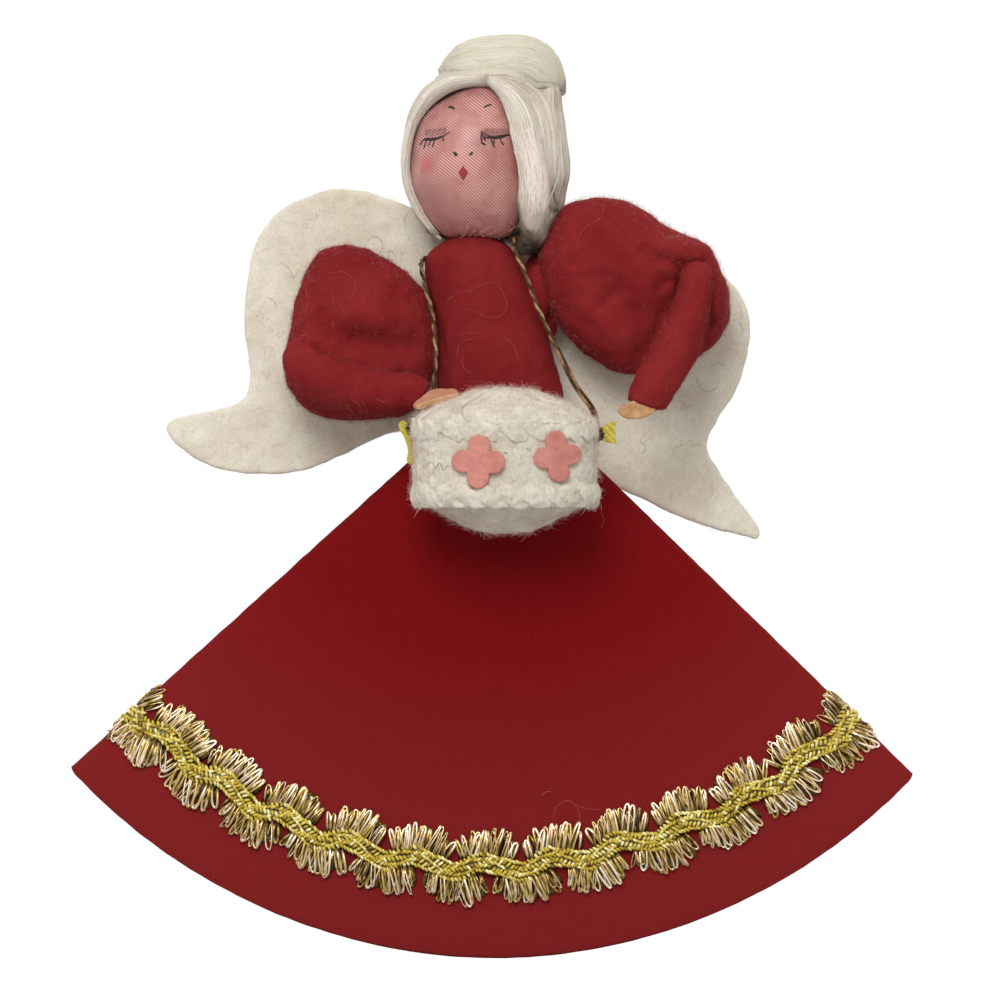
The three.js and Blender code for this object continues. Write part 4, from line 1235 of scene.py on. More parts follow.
for side in ("left", "right"):
    body = f"{side}_forearm"
    sleeve = sleeve_form(f"{side}_forearm_felt", sleeves[side])
    for line, depth, width in puckers[side]:
        stroke(sleeve, line, depth, width)
    felted(sleeve, 2.4 * mm, 0.24 * mm)
    hand_over(sleeve, body, "red_felt", red_felt, f"{side}_forearm_sleeve")
    for name, finish, count, length, width, ways in (
        ("fuzz", red_fuzz, 1500, 1.1 * mm, 0.032 * mm, dict(lift=0.45)),
        ("fringe", pink_fringe_and_rim_light, 500, 0.9 * mm, 0.022 * mm, rim_fibres),
    ):
        name = f"{side}_forearm_{name}"
        fluff(name, sleeve, body, "red_felt", finish, count, length, width, **ways)

# %% [markdown]
# ## Hands of two layers
# Each hand is cut twice from thin sheet: a glossy tan mitten, and a dull pink one that shows
# behind it. The hands are flat, so an outline with a thickness and a soft edge is enough.

# %% The mittens' two layers
mitten_outlines = {
    "left_hand": [
        (618, 410), (624, 405), (638, 400), (652, 404), (655, 410), (648, 416), (636, 419),
        (625, 418),
    ],
    "left_hand_lining": [
        (620, 409), (628, 403), (640, 399), (654, 403), (657, 409), (646, 413), (632, 414),
    ],
    "right_hand": [
        (416, 408), (428, 401), (440, 397), (452, 394), (460, 394), (456, 399), (446, 403),
        (432, 406),
    ],
    "right_hand_lining": [
        (414, 408), (423, 396), (432, 390), (445, 389), (458, 392), (452, 398), (434, 402),
        (422, 408),
    ],
}
mitten_depth = {
    "left_hand": 3.4, "left_hand_lining": 3.0, "right_hand": 5.6, "right_hand_lining": 5.0}
mitten_y = {"left": -18.0, "right": -18.4}
for node, outline in mitten_outlines.items():
    side = node.split("_")[0]
    middle_y = mitten_y[side] * mm
    if node.endswith("lining"):
        middle_y += 0.3 * mm
    mitten = cut_flat(f"{node}_mitten", outline, mitten_depth[node] * mm, 0.16 * mm, 8)
    mitten.data.transform(Matrix.Translation((0, middle_y, 0)))
    felted(mitten, 1.5 * mm, 0.05 * mm)
    is_skin = not node.endswith("lining")
    hand_over(mitten, f"{side}_forearm", "hand_skin" if is_skin else "hand_lining",
              skin.made if is_skin else lining.made, node)

# %% [markdown]
# ## The wings
# The wings are one piece of thick cream felt, cut by hand, so the outline wanders. A flat curve
# through points of the picture is thickened, made a mesh and given small even faces. Then both
# sides are swept back and the surface is roughened.

# %% The wing blank
wing_outline = [
    (500, 452), (456, 441), (416, 431), (395, 432), (376, 438), (341, 455), (303, 470), (266, 474),
    (228, 471), (205, 464), (180, 448), (168, 436), (165, 428), (169, 421), (182, 416), (217, 409),
    (238, 402), (247, 390), (248, 361), (244, 333), (244, 304), (248, 269), (253, 246), (265, 225),
    (281, 208), (303, 197), (332, 188), (360, 190), (393, 199), (420, 212), (446, 237), (500, 248),
    (536, 249), (599, 235), (633, 243), (679, 253), (708, 262), (730, 280), (745, 300), (751, 328),
    (747, 360), (737, 390), (718, 420), (708, 448), (717, 466), (736, 495), (754, 519), (761, 533),
    (758, 539), (748, 537), (703, 525), (664, 510), (645, 500), (598, 480), (552, 460),
]
wing_low, wing_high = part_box("wings")
wing_thickness = 1.6 * mm
wing_front = wing_low.y
flat_half = 13 * mm
sweep = math.tan(math.radians(6))
wings = cut_flat("wings_felt", wing_outline, wing_thickness, 0.5 * mm, 2, bevel=0.35 * mm)


def sweep_back(place, normal):
    beyond = max(0, abs(place.x) - flat_half)
    back = wing_front + wing_thickness / 2 + beyond * sweep
    ripple = lumps(place, 22 * mm, 0.7 * mm) * min(1, beyond / (10 * mm))
    return Vector((place.x, place.y + back + ripple, place.z))


shape(wings, sweep_back)
felted(smooth(wings), 2.4 * mm, 0.16 * mm)
hand_over(wings, "root", "cream_felt", cream_felt, "wings")
for name, finish, count, length, width, lift, curl in (
    ("wing_wool", white_fuzz, 10000, 2.8 * mm, 0.06 * mm, 0.06, 0.9),
    ("wing_fuzz", white_fuzz, 5000, 0.7 * mm, 0.025 * mm, 0.30, 1.2),
    ("wing_dark_hairs", stray_dark_and_shade, 90, 4.2 * mm, 0.04 * mm, 0.05, 1.5),
):
    fluff(
        name, wings, "root", "cream_felt", finish, count, length, width,
        lift=lift, curl=curl, points=8, at_edges=-1)

# %% [markdown]
# ## The drum
# A felt band is sewn to two domed felt discs. The felt is fluffy and uneven. The forms come from
# the solids, and the skin is roughened twice, coarse and then fine. The rims of the lids are
# swollen and drawn towards the band, so that the seams close.

# %% Band and lids
drum_low, drum_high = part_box("drum_band")
drum_middle = (drum_low + drum_high) / 2
drum_half_width = (drum_high.x - drum_low.x) / 2
drum_half_depth = (drum_high.y - drum_low.y) / 2
seam_heights = [drum_low.z, drum_high.z]
seam_swell = 0.9 * mm
seam_drop = 0.7 * mm
seam_swell_reach = 2.6 * mm
pulled_wool = dict(lift=0.08, curl=0.7, points=7)
pink_curls = dict(lift=0.9, curl=2.2, points=8, at_edges=0.7)


def meet_seam(place, normal):
    """Swells the rim of a lid out to the band."""
    near = min(abs(place.z - height) for height in seam_heights)
    share = math.exp(-((near / seam_swell_reach) ** 2))
    outward = Vector((place.x - drum_middle.x, place.y - drum_middle.y, 0)).normalized()
    toward_band = math.copysign(seam_drop, drum_middle.z - place.z)
    return place + (outward * seam_swell + Vector((0, 0, toward_band))) * share


drum_parts = {
    "band": ["drum_band"], "top": ["drum_top"], "bottom": ["drum_bottom", "drum_filling"]}
for part, nodes in drum_parts.items():
    piece = soft_copy(f"drum_{part}_felt", nodes, 0.30 * mm, 4)
    if part != "band":
        shape(piece, meet_seam)
    felted(piece, 2.6 * mm, 0.36 * mm)
    felted(piece, 0.8 * mm, 0.15 * mm)
    hand_over(piece, "drum", "white_felt", white_felt, *nodes)
    for name, finish, count, length, width, ways in (
        ("wool", white_fuzz, 3400, 2.6 * mm, 0.05 * mm, pulled_wool),
        ("fuzz", pink_fuzz, 3600, 2.2 * mm, 0.022 * mm, pink_curls),
    ):
        name = f"drum_{part}_{name}"
        fluff(name, piece, "drum", "white_felt", finish, count, length, width, **ways)

# %% [markdown]
# ## Whip stitches
# The white thread is so woolly that its stitches run together into a lumpy rim. Slanted strands
# and a ring under them are melted into one form with the solid's stitches, and long fibres are
# laid over it. Strands left separate would look like cord.

# %% Whip stitching
stitches = 25
stitch_reach = {"top": 1.8 * mm, "bottom": 2.1 * mm}
stitch_width = {"top": 3.4 * mm, "bottom": 3.9 * mm}
stitch_depth = {"top": 0.7 * mm, "bottom": 1.1 * mm}
stitch_slant = 0.15


def on_drum(turn, height, out):
    x = (drum_half_width + out) * math.cos(turn)
    y = (drum_half_depth + out) * math.sin(turn)
    return drum_middle + Vector((x, y, height))


for name, node, level_of in (("top", "drum_seam_top", 1), ("bottom", "drum_seam_bottom", -1)):
    seam = level_of * (drum_high.z - drum_low.z) / 2
    paths, ways, broad = [], [], []
    for k in range(stitches):
        turn = 2 * math.pi * (k + chance.uniform(-0.2, 0.2)) / stitches
        reach = stitch_reach[name] * chance.uniform(0.8, 1.1)
        drop = seam + chance.normal(0, 0.15) * mm
        path = []
        for t in np.linspace(-1, 1, 11):
            sunk = 0.1 * mm * max(0, t) if level_of > 0 else 0.6 * mm * max(0, t)
            out = 0.30 * mm * (1 - t * t) - 0.2 * mm - sunk
            slanted = turn - stitch_slant * t * level_of
            path.append(on_drum(slanted, drop + level_of * t * reach, out))
        paths.append(path)
        ways.append(on_drum(turn, seam, 1 * mm) - on_drum(turn, seam, 0))
        broad.append(stitch_width[name] * chance.uniform(0.85, 1.15))
    widths = np.array(broad)[:, None]
    round_drum = [2 * math.pi * k / 96 for k in range(97)]
    under = [on_drum(turn, seam + level_of * 0.8 * mm, -0.5 * mm) for turn in round_drum]
    out_of_drum = [on_drum(turn, seam, 1 * mm) - on_drum(turn, seam, 0) for turn in round_drum]
    ring = strands(
        "seam_ring", [under], 3.0 * mm, 0.8 * mm, 10, np.array(out_of_drum)[None], 1.0, [0.5])
    in_edit(ring, face_outward)
    petals = strands(
        "stitches", paths, widths, stitch_depth[name], 12, np.array(ways)[:, None], 0.35,
        [0.5] * stitches)
    in_edit(petals, face_outward)
    seam_thread = soft_copy(f"whip_stitches_{name}", [node], 0.22 * mm, 2, [petals, ring])
    felted(seam_thread, 1.2 * mm, 0.26 * mm)
    hand_over(seam_thread, "drum", "white_thread", white_felt, node)
    fluff(
        f"seam_wool_{name}", seam_thread, "drum", "white_thread", white_fuzz,
        1200, 2.0 * mm, 0.05 * mm, **pulled_wool)

# %% [markdown]
# ## Flowers, tabs and knots
# The flowers are cut from salmon felt: four discs and a middle are melted into one form and bent
# round the drum. The tabs are flat strips of yellow raffia. The knots are small balls of brown
# yarn, and they stay with the strap when the drum tips.

# %% Flowers, tabs and knots
flower_shapes = {"right": (478.5, 462, 26.5, 26.5, 2), "left": (557.5, 456.5, 23, 26.5, -7)}
petal_thickness = 1.0 * mm
petal_share = 0.425
middle_share = 0.36
sunk_in_wool = 0.55 * mm
for side, (column, row, wide, tall, lean) in flower_shapes.items():
    forms = []
    for k in range(4):
        way = math.radians(lean + 90 * k)
        off = 1 - petal_share
        centre = seen(column + wide * off * math.sin(way), row - tall * off * math.cos(way))
        nothing()
        bpy.ops.mesh.primitive_cylinder_add(
            vertices=40, radius=petal_share * (wide + tall) / 2 * pixel, depth=petal_thickness,
            location=centre, rotation=(math.pi / 2, 0, 0))
        petal = newest("petal")
        bpy.ops.object.transform_apply(location=True, rotation=True, scale=True)
        forms.append(petal)
    nothing()
    bpy.ops.mesh.primitive_cylinder_add(
        vertices=40, radius=middle_share * (wide + tall) / 2 * pixel, depth=petal_thickness,
        location=seen(column, row), rotation=(math.pi / 2, 0, 0))
    bpy.ops.object.transform_apply(location=True, rotation=True, scale=True)
    forms.append(newest("middle"))
    petals = melted(f"{side}_flower_felt", forms, 0.2 * mm, 3)

    def wrap(place, normal):
        across = min(0.98, max(-0.98, (place.x - drum_middle.x) / drum_half_width))
        surface = drum_middle.y - drum_half_depth * math.sqrt(1 - across**2)
        return Vector((place.x, surface - sunk_in_wool + place.y, place.z))

    shape(petals, wrap)
    felted(petals, 1.1 * mm, 0.08 * mm)
    hand_over(petals, "drum", "salmon_felt", salmon_felt, f"flower_{side}")
    fluff(
        f"{side}_flower_fuzz", petals, "drum", "salmon_felt", salmon_felt,
        700, 0.9 * mm, 0.025 * mm, lift=0.6)

raffia = Finish("raffia", Roughness=0.34)
raffia_streaks = raffia.speckle(0.5 * mm, 4, place=raffia.stretched((0.6, 3, 2)))
raffia.paint(raffia.ramp(raffia_streaks, (0.35, tone(168, 148, 36)), (0.65, tone(214, 198, 74))))
raffia.relief(raffia_streaks, 0.1 * mm, 0.6)
knot_brown = felt(
    "knot_brown", tone(58, 36, 20), tone(100, 70, 42), tone(150, 112, 70), 0.7 * mm).made
tab_outlines = {
    "right": [
        (399, 424), (404, 421), (410, 432), (414, 446), (415, 458), (412, 464), (408, 463),
        (408, 450), (404, 437),
    ],
    "left": [
        (599.5, 428), (603, 426), (607, 424), (613, 421.5), (616, 423), (614.5, 428), (615.5, 433),
        (615, 438), (616, 443), (611, 443), (605, 441.5), (602, 440), (599.5, 437.5),
    ],
}
tab_depth = -18.2 * mm
knots = {"left": (599, 434.5, -21.6, (1.0, 0.9, 1.3)), "right": (410, 428, -19.6, (0.8, 0.8, 0.9))}


def ribbed(place, normal):
    """Fine ribs along a strip of raffia."""
    rib = 0.08 * mm * math.sin((place.x + place.z) / (0.22 * mm))
    return place + Vector((0, rib, 0))


def wound(place, normal):
    """Slanting turns of yarn round a knot."""
    return place + normal * 0.14 * mm * math.sin((place.x + 1.4 * place.z) / (0.16 * mm))


for side, outline in tab_outlines.items():
    tab = cut_flat(f"{side}_raffia_tab", outline, 0.9 * mm, 0.12 * mm, 2)
    tab.data.transform(Matrix.Translation((0, tab_depth, 0)))
    shape(tab, ribbed)
    hand_over(tab, "drum", "raffia", raffia.made, f"strap_tab_{side}")
    column, row, y, half_sizes = knots[side]
    knot = melted(f"{side}_strap_knot", [blob(column, row, y, half_sizes)], 0.12 * mm, 1)
    shape(knot, wound)
    hand_over(knot, "root", "brown_cord", knot_brown, f"strap_knot_{side}")

# %% [markdown]
# ## The head
# The head is a ball in pink satin. The weave shows as fine lines that slant down to the right, a
# little steeper above the mouth than below it, and it fades at the lower left. Two wave textures
# give the lines, and a round stain on each cheek is measured from a point on it.

# %% Satin
head_centre = Vector((-5.7, -0.5, 65.45)) * mm
head_semi = Vector((12.4, 12.4, 14.4)) * mm
head_tilt = math.radians(6)
satin = Finish("face_satin", Roughness=0.4, Sheen_Weight=0.08)
weave_pitch = 0.47 * mm
wave_at_scale_one = 0.314
upper_slope, lower_slope = 52, 44


def weave(slope):
    turned = satin.stretched((1, 1, 1), (0, math.radians(slope), 0))
    scale = wave_at_scale_one / weave_pitch
    settings = dict(Vector=turned, Scale=scale, Distortion=0.4)
    return satin.add("ShaderNodeTexWave", {"bands_direction": "X"}, **settings).outputs["Fac"]


def spot(column, row, radius, y):
    """1 in the middle of a round stain, fading to 0 at its rim."""
    middle = seen(column, row, y)
    away = satin.add("ShaderNodeVectorMath", {"operation": "DISTANCE"})
    satin.tree.links.new(satin.place, away.inputs[0])
    away.inputs[1].default_value = middle
    return satin.add("ShaderNodeMapRange", Value=away.outputs["Value"], **{
        "From_Min": 0.0, "From_Max": radius, "To_Min": 1.0, "To_Max": 0.0}).outputs[0]


upper = weave(upper_slope)
lower = weave(lower_slope)
height = satin.add("ShaderNodeSeparateXYZ", Vector=satin.place).outputs["Z"]
turn_height = seen(480, 182).z
crossing = satin.add("ShaderNodeMapRange", Value=height, **{
    "From_Min": turn_height - 1.2 * mm, "From_Max": turn_height + 1.2 * mm}).outputs[0]
lines = satin.mixed(crossing, lower, upper)
sharp = satin.ramp(lines, (0.3, grey(0)), (0.75, grey(1)))
patchy = satin.ramp(satin.speckle(5 * mm, 2), (0.36, grey(0.25)), (0.58, grey(0.9)))
threads = satin.add("ShaderNodeMath", {"operation": "MULTIPLY"})
satin.tree.links.new(sharp, threads.inputs[0])
satin.tree.links.new(patchy, threads.inputs[1])
plain = satin.ramp(spot(432, 200, 7 * mm, -8 * mm), (0, grey(0)), (0.6, grey(0.7)))
showing = satin.mixed(plain, threads.outputs[0], grey(0.12))
ground = satin.ramp(
    satin.speckle(9 * mm, 2), (0.35, tone(156, 94, 89)), (0.65, tone(176, 114, 107)))
woven = satin.mixed(showing, ground, tone(222, 168, 160))
cheek = satin.ramp(spot(429, 164, 2.4 * mm, -8.5 * mm), (0, grey(0)), (0.45, grey(0.6)))
far_cheek = satin.ramp(spot(506, 160, 4.2 * mm, -8 * mm), (0, grey(0)), (0.8, grey(0.3)))
blushed = satin.mixed(cheek, woven, tone(190, 84, 80))
satin.paint(satin.mixed(far_cheek, blushed, tone(190, 96, 92)))
satin.relief(sharp, 0.05 * mm, 0.5)

# %% [markdown]
# ## The painted face
# A sphere is stretched to the head's size, tilted and fitted to its outline. The closed eyes, the
# brows, the nose and the lips are painted on the real doll. Here each stroke of the brush is a
# thin flat strand, cast on to the satin from the front. It stays sharp close up.

# %% Face
face_outline = [
    (485, 80), (462, 86), (450, 92), (435, 101), (425, 109), (418, 120), (412, 140), (409, 160),
    (408, 175), (411, 190), (418, 206), (428, 223), (441, 235), (455, 238), (480, 239), (500, 239),
    (512, 235), (520, 226), (525, 205), (529, 170), (527, 140), (520, 110), (508, 90),
]
nothing()
bpy.ops.mesh.primitive_uv_sphere_add(segments=128, ring_count=96, radius=1)
face = newest("satin_face")
tilt = Matrix.Rotation(head_tilt, 3, "Y")


def face_place(place, normal):
    pleat = 0.25 * mm * math.sin(26 * math.atan2(place.y, place.x)) * max(0, -place.z - 0.72) / 0.28
    swollen = Vector((place.x * head_semi.x, place.y * head_semi.y, place.z * head_semi.z))
    return head_centre + tilt @ (swollen + normal * pleat)


shape(face, face_place)
fit_outline(face, face_outline)
smooth(face)
hand_over(face, "root", "face_satin", satin.made, "face_satin", "head_ball")


def skin_of(*pieces):
    """A tree that finds the surface of some pieces."""
    corners, sides = [], []
    for piece in pieces:
        start = len(corners)
        corners += [point.co for point in piece.data.vertices]
        sides += [[start + k for k in side.vertices] for side in piece.data.polygons]
    return BVHTree.FromPolygons(corners, sides)


face_skin = skin_of(face)


front, behind = -60 * mm, 60 * mm
face_y = -8 * mm


def on_front(column, row, skin, lift):
    """The place on a surface that a column and a row show, a little in front of it."""
    hit, normal, _, _ = skin.ray_cast(seen(column, row, front), Vector((0, 1, 0)))
    if hit is None:
        hit, normal, _, _ = skin.find_nearest(seen(column, row, face_y))
    return hit + normal * lift


def strokes(
    name, lines, width, ink, points=9, lift=0.02 * mm, skin=face_skin, body="root",
    slot="face_satin", rise=0.07 * mm, ends=0.45
):
    """Thin lines that lie on a surface, drawn by the picture's columns and rows."""
    paths = []
    for line in lines:
        drawn = smooth_line([(*point, 0) for point in line], points)
        paths.append([on_front(column, row, skin, lift) for column, row, _ in drawn])
    made = strands(name, paths, width, rise, 6, (0, -1, 0.05), ends)
    return hand_over(made, body, slot, ink)


strokes("lash_lines", [
    [(421, 143), (424, 140), (430, 139.8), (437, 139.2), (443, 136.5), (450, 132)],
    [(422, 141.6), (425, 138.6), (430, 138.4), (437, 137.9), (443, 135.6)],
    [(481, 132), (484, 136.5), (490, 138), (498, 138), (505, 136), (511, 132.5)],
    [(481, 130.5), (486, 135), (492, 136.6), (500, 136), (507, 134.8), (513, 137)],
], 0.42 * mm, lash_ink, 24)
strokes("lashes", [
    [(423, 140), (420.5, 145)], [(427, 140), (424, 148.5)], [(431.5, 140), (428.5, 146)],
    [(435, 140), (432.5, 147.5)], [(443, 137), (444, 141)],
    [(481.5, 132), (481.5, 139), (482, 144)], [(483.5, 137), (485.5, 141.5)],
    [(482, 143), (485.5, 145)], [(491, 138.5), (492, 143), (494.5, 148)], [(494, 139), (493, 146)],
    [(500, 138), (501, 142), (503.5, 145)], [(513, 131), (513, 140)],
], 0.46 * mm, lash_ink, ends=0.6)
strokes("brows", [
    [(448, 107), (451, 106.6), (454.5, 108.6)], [(448.5, 108), (451.5, 108), (454.5, 109.4)],
    [(449, 107.5), (453, 108)], [(484.5, 106.8), (488, 105.6), (492, 104.4)],
    [(484, 107.4), (487, 106.4)],
], 0.52 * mm, lash_ink)
strokes("nostrils", [
    [(453.6, 152), (457.4, 155.4)], [(454.2, 153.8), (456.6, 155.8)],
    [(469.4, 155.2), (472.8, 152.2)], [(470.4, 154.8), (472.4, 153)],
], 0.5 * mm, lash_ink, ends=0.7)
lid_lines = [
    [(424 + 2.0 * k, 137 - abs(k - 4) * 0.4), (426.5 + 2.0 * k, 129.5 - 0.35 * k)]
    for k in range(11)
]
lid_lines += [
    [(425 + 2.1 * k, 129.5 - 0.25 * k), (427.5 + 2.1 * k, 136 - 0.3 * k)] for k in range(10)]
lid_lines += [[(483 + 2.3 * k, 135.5), (485.5 + 2.3 * k, 128)] for k in range(12)]
lid_lines += [[(483 + 2.4 * k, 128.5), (486 + 2.4 * k, 135)] for k in range(12)]
strokes("lid_hatching", lid_lines, 0.15 * mm, lid_ink)
lip_lines = []
for k in range(-4, 5):
    tall = 7.6 * (1 - abs(k) / 5.2)
    lip_lines.append([(463.3 + 0.95 * k, 173 - tall), (463.3 + 0.95 * k, 173 + tall)])
strokes("lips", lip_lines, 0.32 * mm, lip_ink)

# %% [markdown]
# ## The hair
# The hair is silky floss, parted in front, laid down both sides and rolled into a bun. The solids
# give the mass. Hundreds of fine strands are laid over it along lines chosen from the picture, and
# each is pressed on to the surface, so that the gloss breaks up as it does on real floss.

# %% Hair mass
def floss_mass(name, stretch):
    made = Finish(name, Roughness=0.45, Specular_IOR_Level=0.4)
    fibres = made.speckle(0.5 * mm, 5, place=made.stretched(stretch))
    tones = (0.3, tone(190, 178, 158)), (0.55, tone(210, 201, 182)), (0.8, tone(226, 219, 200))
    made.paint(made.ramp(fibres, *tones))
    made.relief(fibres, 0.15 * mm, 0.7)
    return made.made


def roll_of_hair(spine):
    """A thick roll along (column, row, y in mm, width in columns), deeper than it is wide."""
    spine = np.array(spine, float)
    line = smooth_line(spine[:, :3], 40)
    wide = np.interp(np.linspace(0, len(spine) - 1, 40), range(len(spine)), spine[:, 3]) * pixel
    path = [seen(column, row, y * mm) for column, row, y in line]
    return strands("roll", [path], wide[None], 1.45 * wide.mean(), 16, (0, -1, 0.05), 0.8, [0.5])


hair_outline = [
    (436, 76), (428, 88), (418, 102), (410, 118), (405, 135), (401, 155), (402, 175), (406, 190),
    (411, 205), (420, 222), (438, 240), (480, 245), (508, 256), (528, 260), (546, 251), (552, 228),
    (566, 206), (567, 190), (570, 175), (570, 160), (567, 140), (565, 120), (564, 100), (563, 85),
    (550, 60), (520, 50), (480, 50), (450, 60),
]
bun_outline = [
    (436, 77), (440, 65), (452, 50), (470, 38), (490, 34), (527, 34), (545, 40), (557, 52),
    (563, 68), (566, 85), (563, 100), (553, 94), (540, 80), (522, 73), (500, 73), (485, 78),
    (470, 75), (455, 75),
]
hair_mass = soft_copy("hair_mass", ["hair_right", "hair_left", "hair_back"], 0.36 * mm, 6, [
    blob(528, 234, 2.4, (3.2, 3.4, 4.6)),
    blob(540, 226, 0.5, (3.6, 4.5, 5.6), -20),
    blob(553, 210, 3.0, (3.2, 4.5, 4.8)),
    blob(516, 246, 3.6, (3.6, 3.0, 2.4)),
    blob(534, 246, 3.6, (3.2, 3.0, 2.2)),
    blob(552, 88, 2.0, (2.4, 5.5, 5.0)),
    blob(492, 87, -2.6, (8.0, 5.0, 2.2)),
    blob(541, 247, 4.5, (3.0, 2.6, 2.8)),
])
fit_outline(hair_mass, hair_outline)
soften(hair_mass, 2)
hairline = melted("hairline", [
    roll_of_hair([
        (494, 78, -5.8, 11), (478, 78, -5.6, 13), (461, 79, -5.0, 15), (445, 84, -4.6, 18),
        (431.5, 92, -4.2, 19), (421, 104, -4.0, 16), (412.5, 119, -3.8, 12), (407.5, 138, -3.8, 9),
        (404.8, 156, -3.8, 9), (405, 172, -3.6, 8), (408, 188, -3.4, 8), (414.5, 203, -3.2, 8),
        (423, 218, -3.0, 8), (433, 231, -2.6, 7), (441, 239, -2.0, 5),
    ]),
    roll_of_hair([
        (440, 92, -0.6, 22), (427, 104, -0.4, 18), (417, 120, 0.0, 16), (411, 138, 0.4, 15),
        (408.5, 156, 0.6, 14), (409, 172, 0.8, 14), (412, 188, 0.8, 13), (417, 203, 0.6, 12),
        (425, 218, 0.2, 10), (434, 230, 0.0, 8),
    ]),
    roll_of_hair([
        (486, 78, -6.2, 10), (500, 84, -6.6, 18), (512, 98, -7.2, 24), (521, 116, -7.6, 26),
        (527, 138, -7.6, 28), (532, 162, -7.4, 29), (534, 186, -7.0, 30), (534, 206, -6.4, 30),
        (533, 222, -5.0, 27), (531, 238, -2.4, 18),
    ]),
], 0.3 * mm, 4)
for form, nodes in ((hair_mass, ("hair_right", "hair_left", "hair_back")), (hairline, ())):
    hand_over(form, "root", "floss", floss_mass(f"{form.name}_floss", (4, 4, 0.35)), *nodes)
bun_mass = soft_copy("bun_mass", ["hair_bun"], 0.36 * mm, 8)
stroke(bun_mass, [(446, 66), (470, 68), (484, 66), (508, 64), (534, 70)], -0.5, 1.6)
stroke(bun_mass, [(474, 54), (482, 62), (486, 74)], 0.4, 0.9)
soften(bun_mass, 4)
fit_outline(bun_mass, bun_outline, 1.5 * mm)
hand_over(bun_mass, "root", "floss", floss_mass("bun_floss_mass", (0.35, 4, 4)), "hair_bun")
head_skin = skin_of(hair_mass, hairline)
bun_skin = skin_of(bun_mass)

# %% [markdown]
# ## Strands of floss
# The floss runs from the parting down both sides, over the bun and down the back. A bundle is
# given two lines, and its strands run between them. They are cast on to the mass from the front
# or from behind, or drawn to its nearest place at the sides. Paler strands are painted highlights
# where the floss shines, and dark strands at the nape are painted shade.

# %% Laying strands
floss_thickness = 0.07 * mm
head_column = 480


def combed(paths):
    """Evens out the small jumps of paths that were cast on to a surface."""
    paths = np.array(paths)
    for _ in range(2):
        paths[:, 1:-1] = (paths[:, :-2] + 2 * paths[:, 1:-1] + paths[:, 2:]) / 4
    return paths


def laid(
    name, skin, first, last, count, from_y, points=24, stray=1.6, width=0.11 * mm, finish=floss,
    lift_most=0.22
):
    """Strands that run between two lines seen in front, or behind where from_y is positive."""
    a, b = (smooth_line([(*point, 0) for point in line], points) for line in (first, last))
    way = Vector((0, -1 if from_y > 0 else 1, 0))
    along = np.linspace(0, 1, points)
    paths = []
    for _ in range(count):
        s = chance.random()
        drift = chance.normal(0, stray, 2)
        swing = chance.normal(0, 0.7) * np.sin(along * chance.uniform(4, 11) + chance.uniform(0, 6))
        wander = along[:, None] * drift + swing[:, None] * [1, 0.3]
        lift = chance.uniform(0.02, lift_most) * mm
        path = []
        for (column, row, _), (dc, dr) in zip(a * (1 - s) + b * s, wander):
            start = seen(column + dc, row + dr, from_y)
            hit, normal, _, _ = skin.ray_cast(start, way)
            if hit is None:
                near_head = seen(column + dc, row + dr, head_centre.y + from_y / 12)
                hit, normal, _, _ = skin.find_nearest(near_head)
            path.append(hit + normal * lift)
        paths.append(path)
    facing = (0, -1 if from_y < 0 else 1, 0.1)
    made = strands(name, combed(paths), width, floss_thickness, 4, facing, 0.6)
    return hand_over(made, "root", "floss", finish)


laid("hair_strands_right", head_skin,
     [
         (486, 84), (470, 85), (452, 91), (437, 99), (426, 109), (417, 122), (412.5, 142),
         (410, 160), (409, 176), (412, 190), (418.5, 204), (428, 219), (439, 233),
     ],
     [
         (487, 76), (462, 75), (440, 78), (428, 89), (418, 102), (410, 118), (405, 135), (402, 155),
         (402.5, 174), (406, 190), (411.5, 204), (420, 218), (431, 233),
     ],
     900, front, stray=0.6)
laid("hair_strands_left", head_skin,
     [
         (486, 82), (497, 92), (505, 108), (509.5, 125), (513, 142), (515.5, 162), (518.5, 182),
         (520.5, 200), (521, 215), (520, 234),
     ],
     [
         (487, 74), (507, 72), (528, 73), (546, 82), (557, 99), (563, 122), (565, 150), (564, 182),
         (559, 203), (550, 222), (543, 238),
     ],
     1500, front, stray=1.2)
# Painted highlights: pale strands laid where the hair lock shines.
for k, (first, last) in enumerate((
    (
        [(522, 148), (526, 164), (529, 182), (532, 200)],
        [(541, 144), (545, 162), (547, 180), (546, 198)],
    ),
    (
        [(525, 168), (529, 184), (532, 200), (534, 214)],
        [(545, 166), (547, 182), (546, 198), (543, 212)],
    ),
    (
        [(516, 132), (519, 146), (523, 160), (526, 172)],
        [(530, 128), (535, 144), (538, 158), (540, 170)],
    ),
)):
    laid(
        f"hair_glints_{k}", head_skin, first, last, 60, front, finish=glint_floss, stray=2.4,
        lift_most=0.3, width=0.13 * mm)
laid("hair_edge_left", head_skin,
     [(560, 92), (562, 120), (565, 150), (566, 180), (562, 204), (552, 224)],
     [(566, 80), (566, 115), (569, 150), (570, 176), (568, 196), (560, 212)],
     160, front, finish=bun_floss)
laid("bun_strands", bun_skin,
     [(437, 76), (455, 74), (472, 75), (486, 77), (504, 73), (524, 73), (544, 84), (561, 99)],
     [(438, 70), (450, 50), (470, 38), (492, 34), (526, 34), (547, 41), (560, 55), (566, 84)],
     1200, front, points=34, width=0.12 * mm, finish=bun_floss, lift_most=0.16)
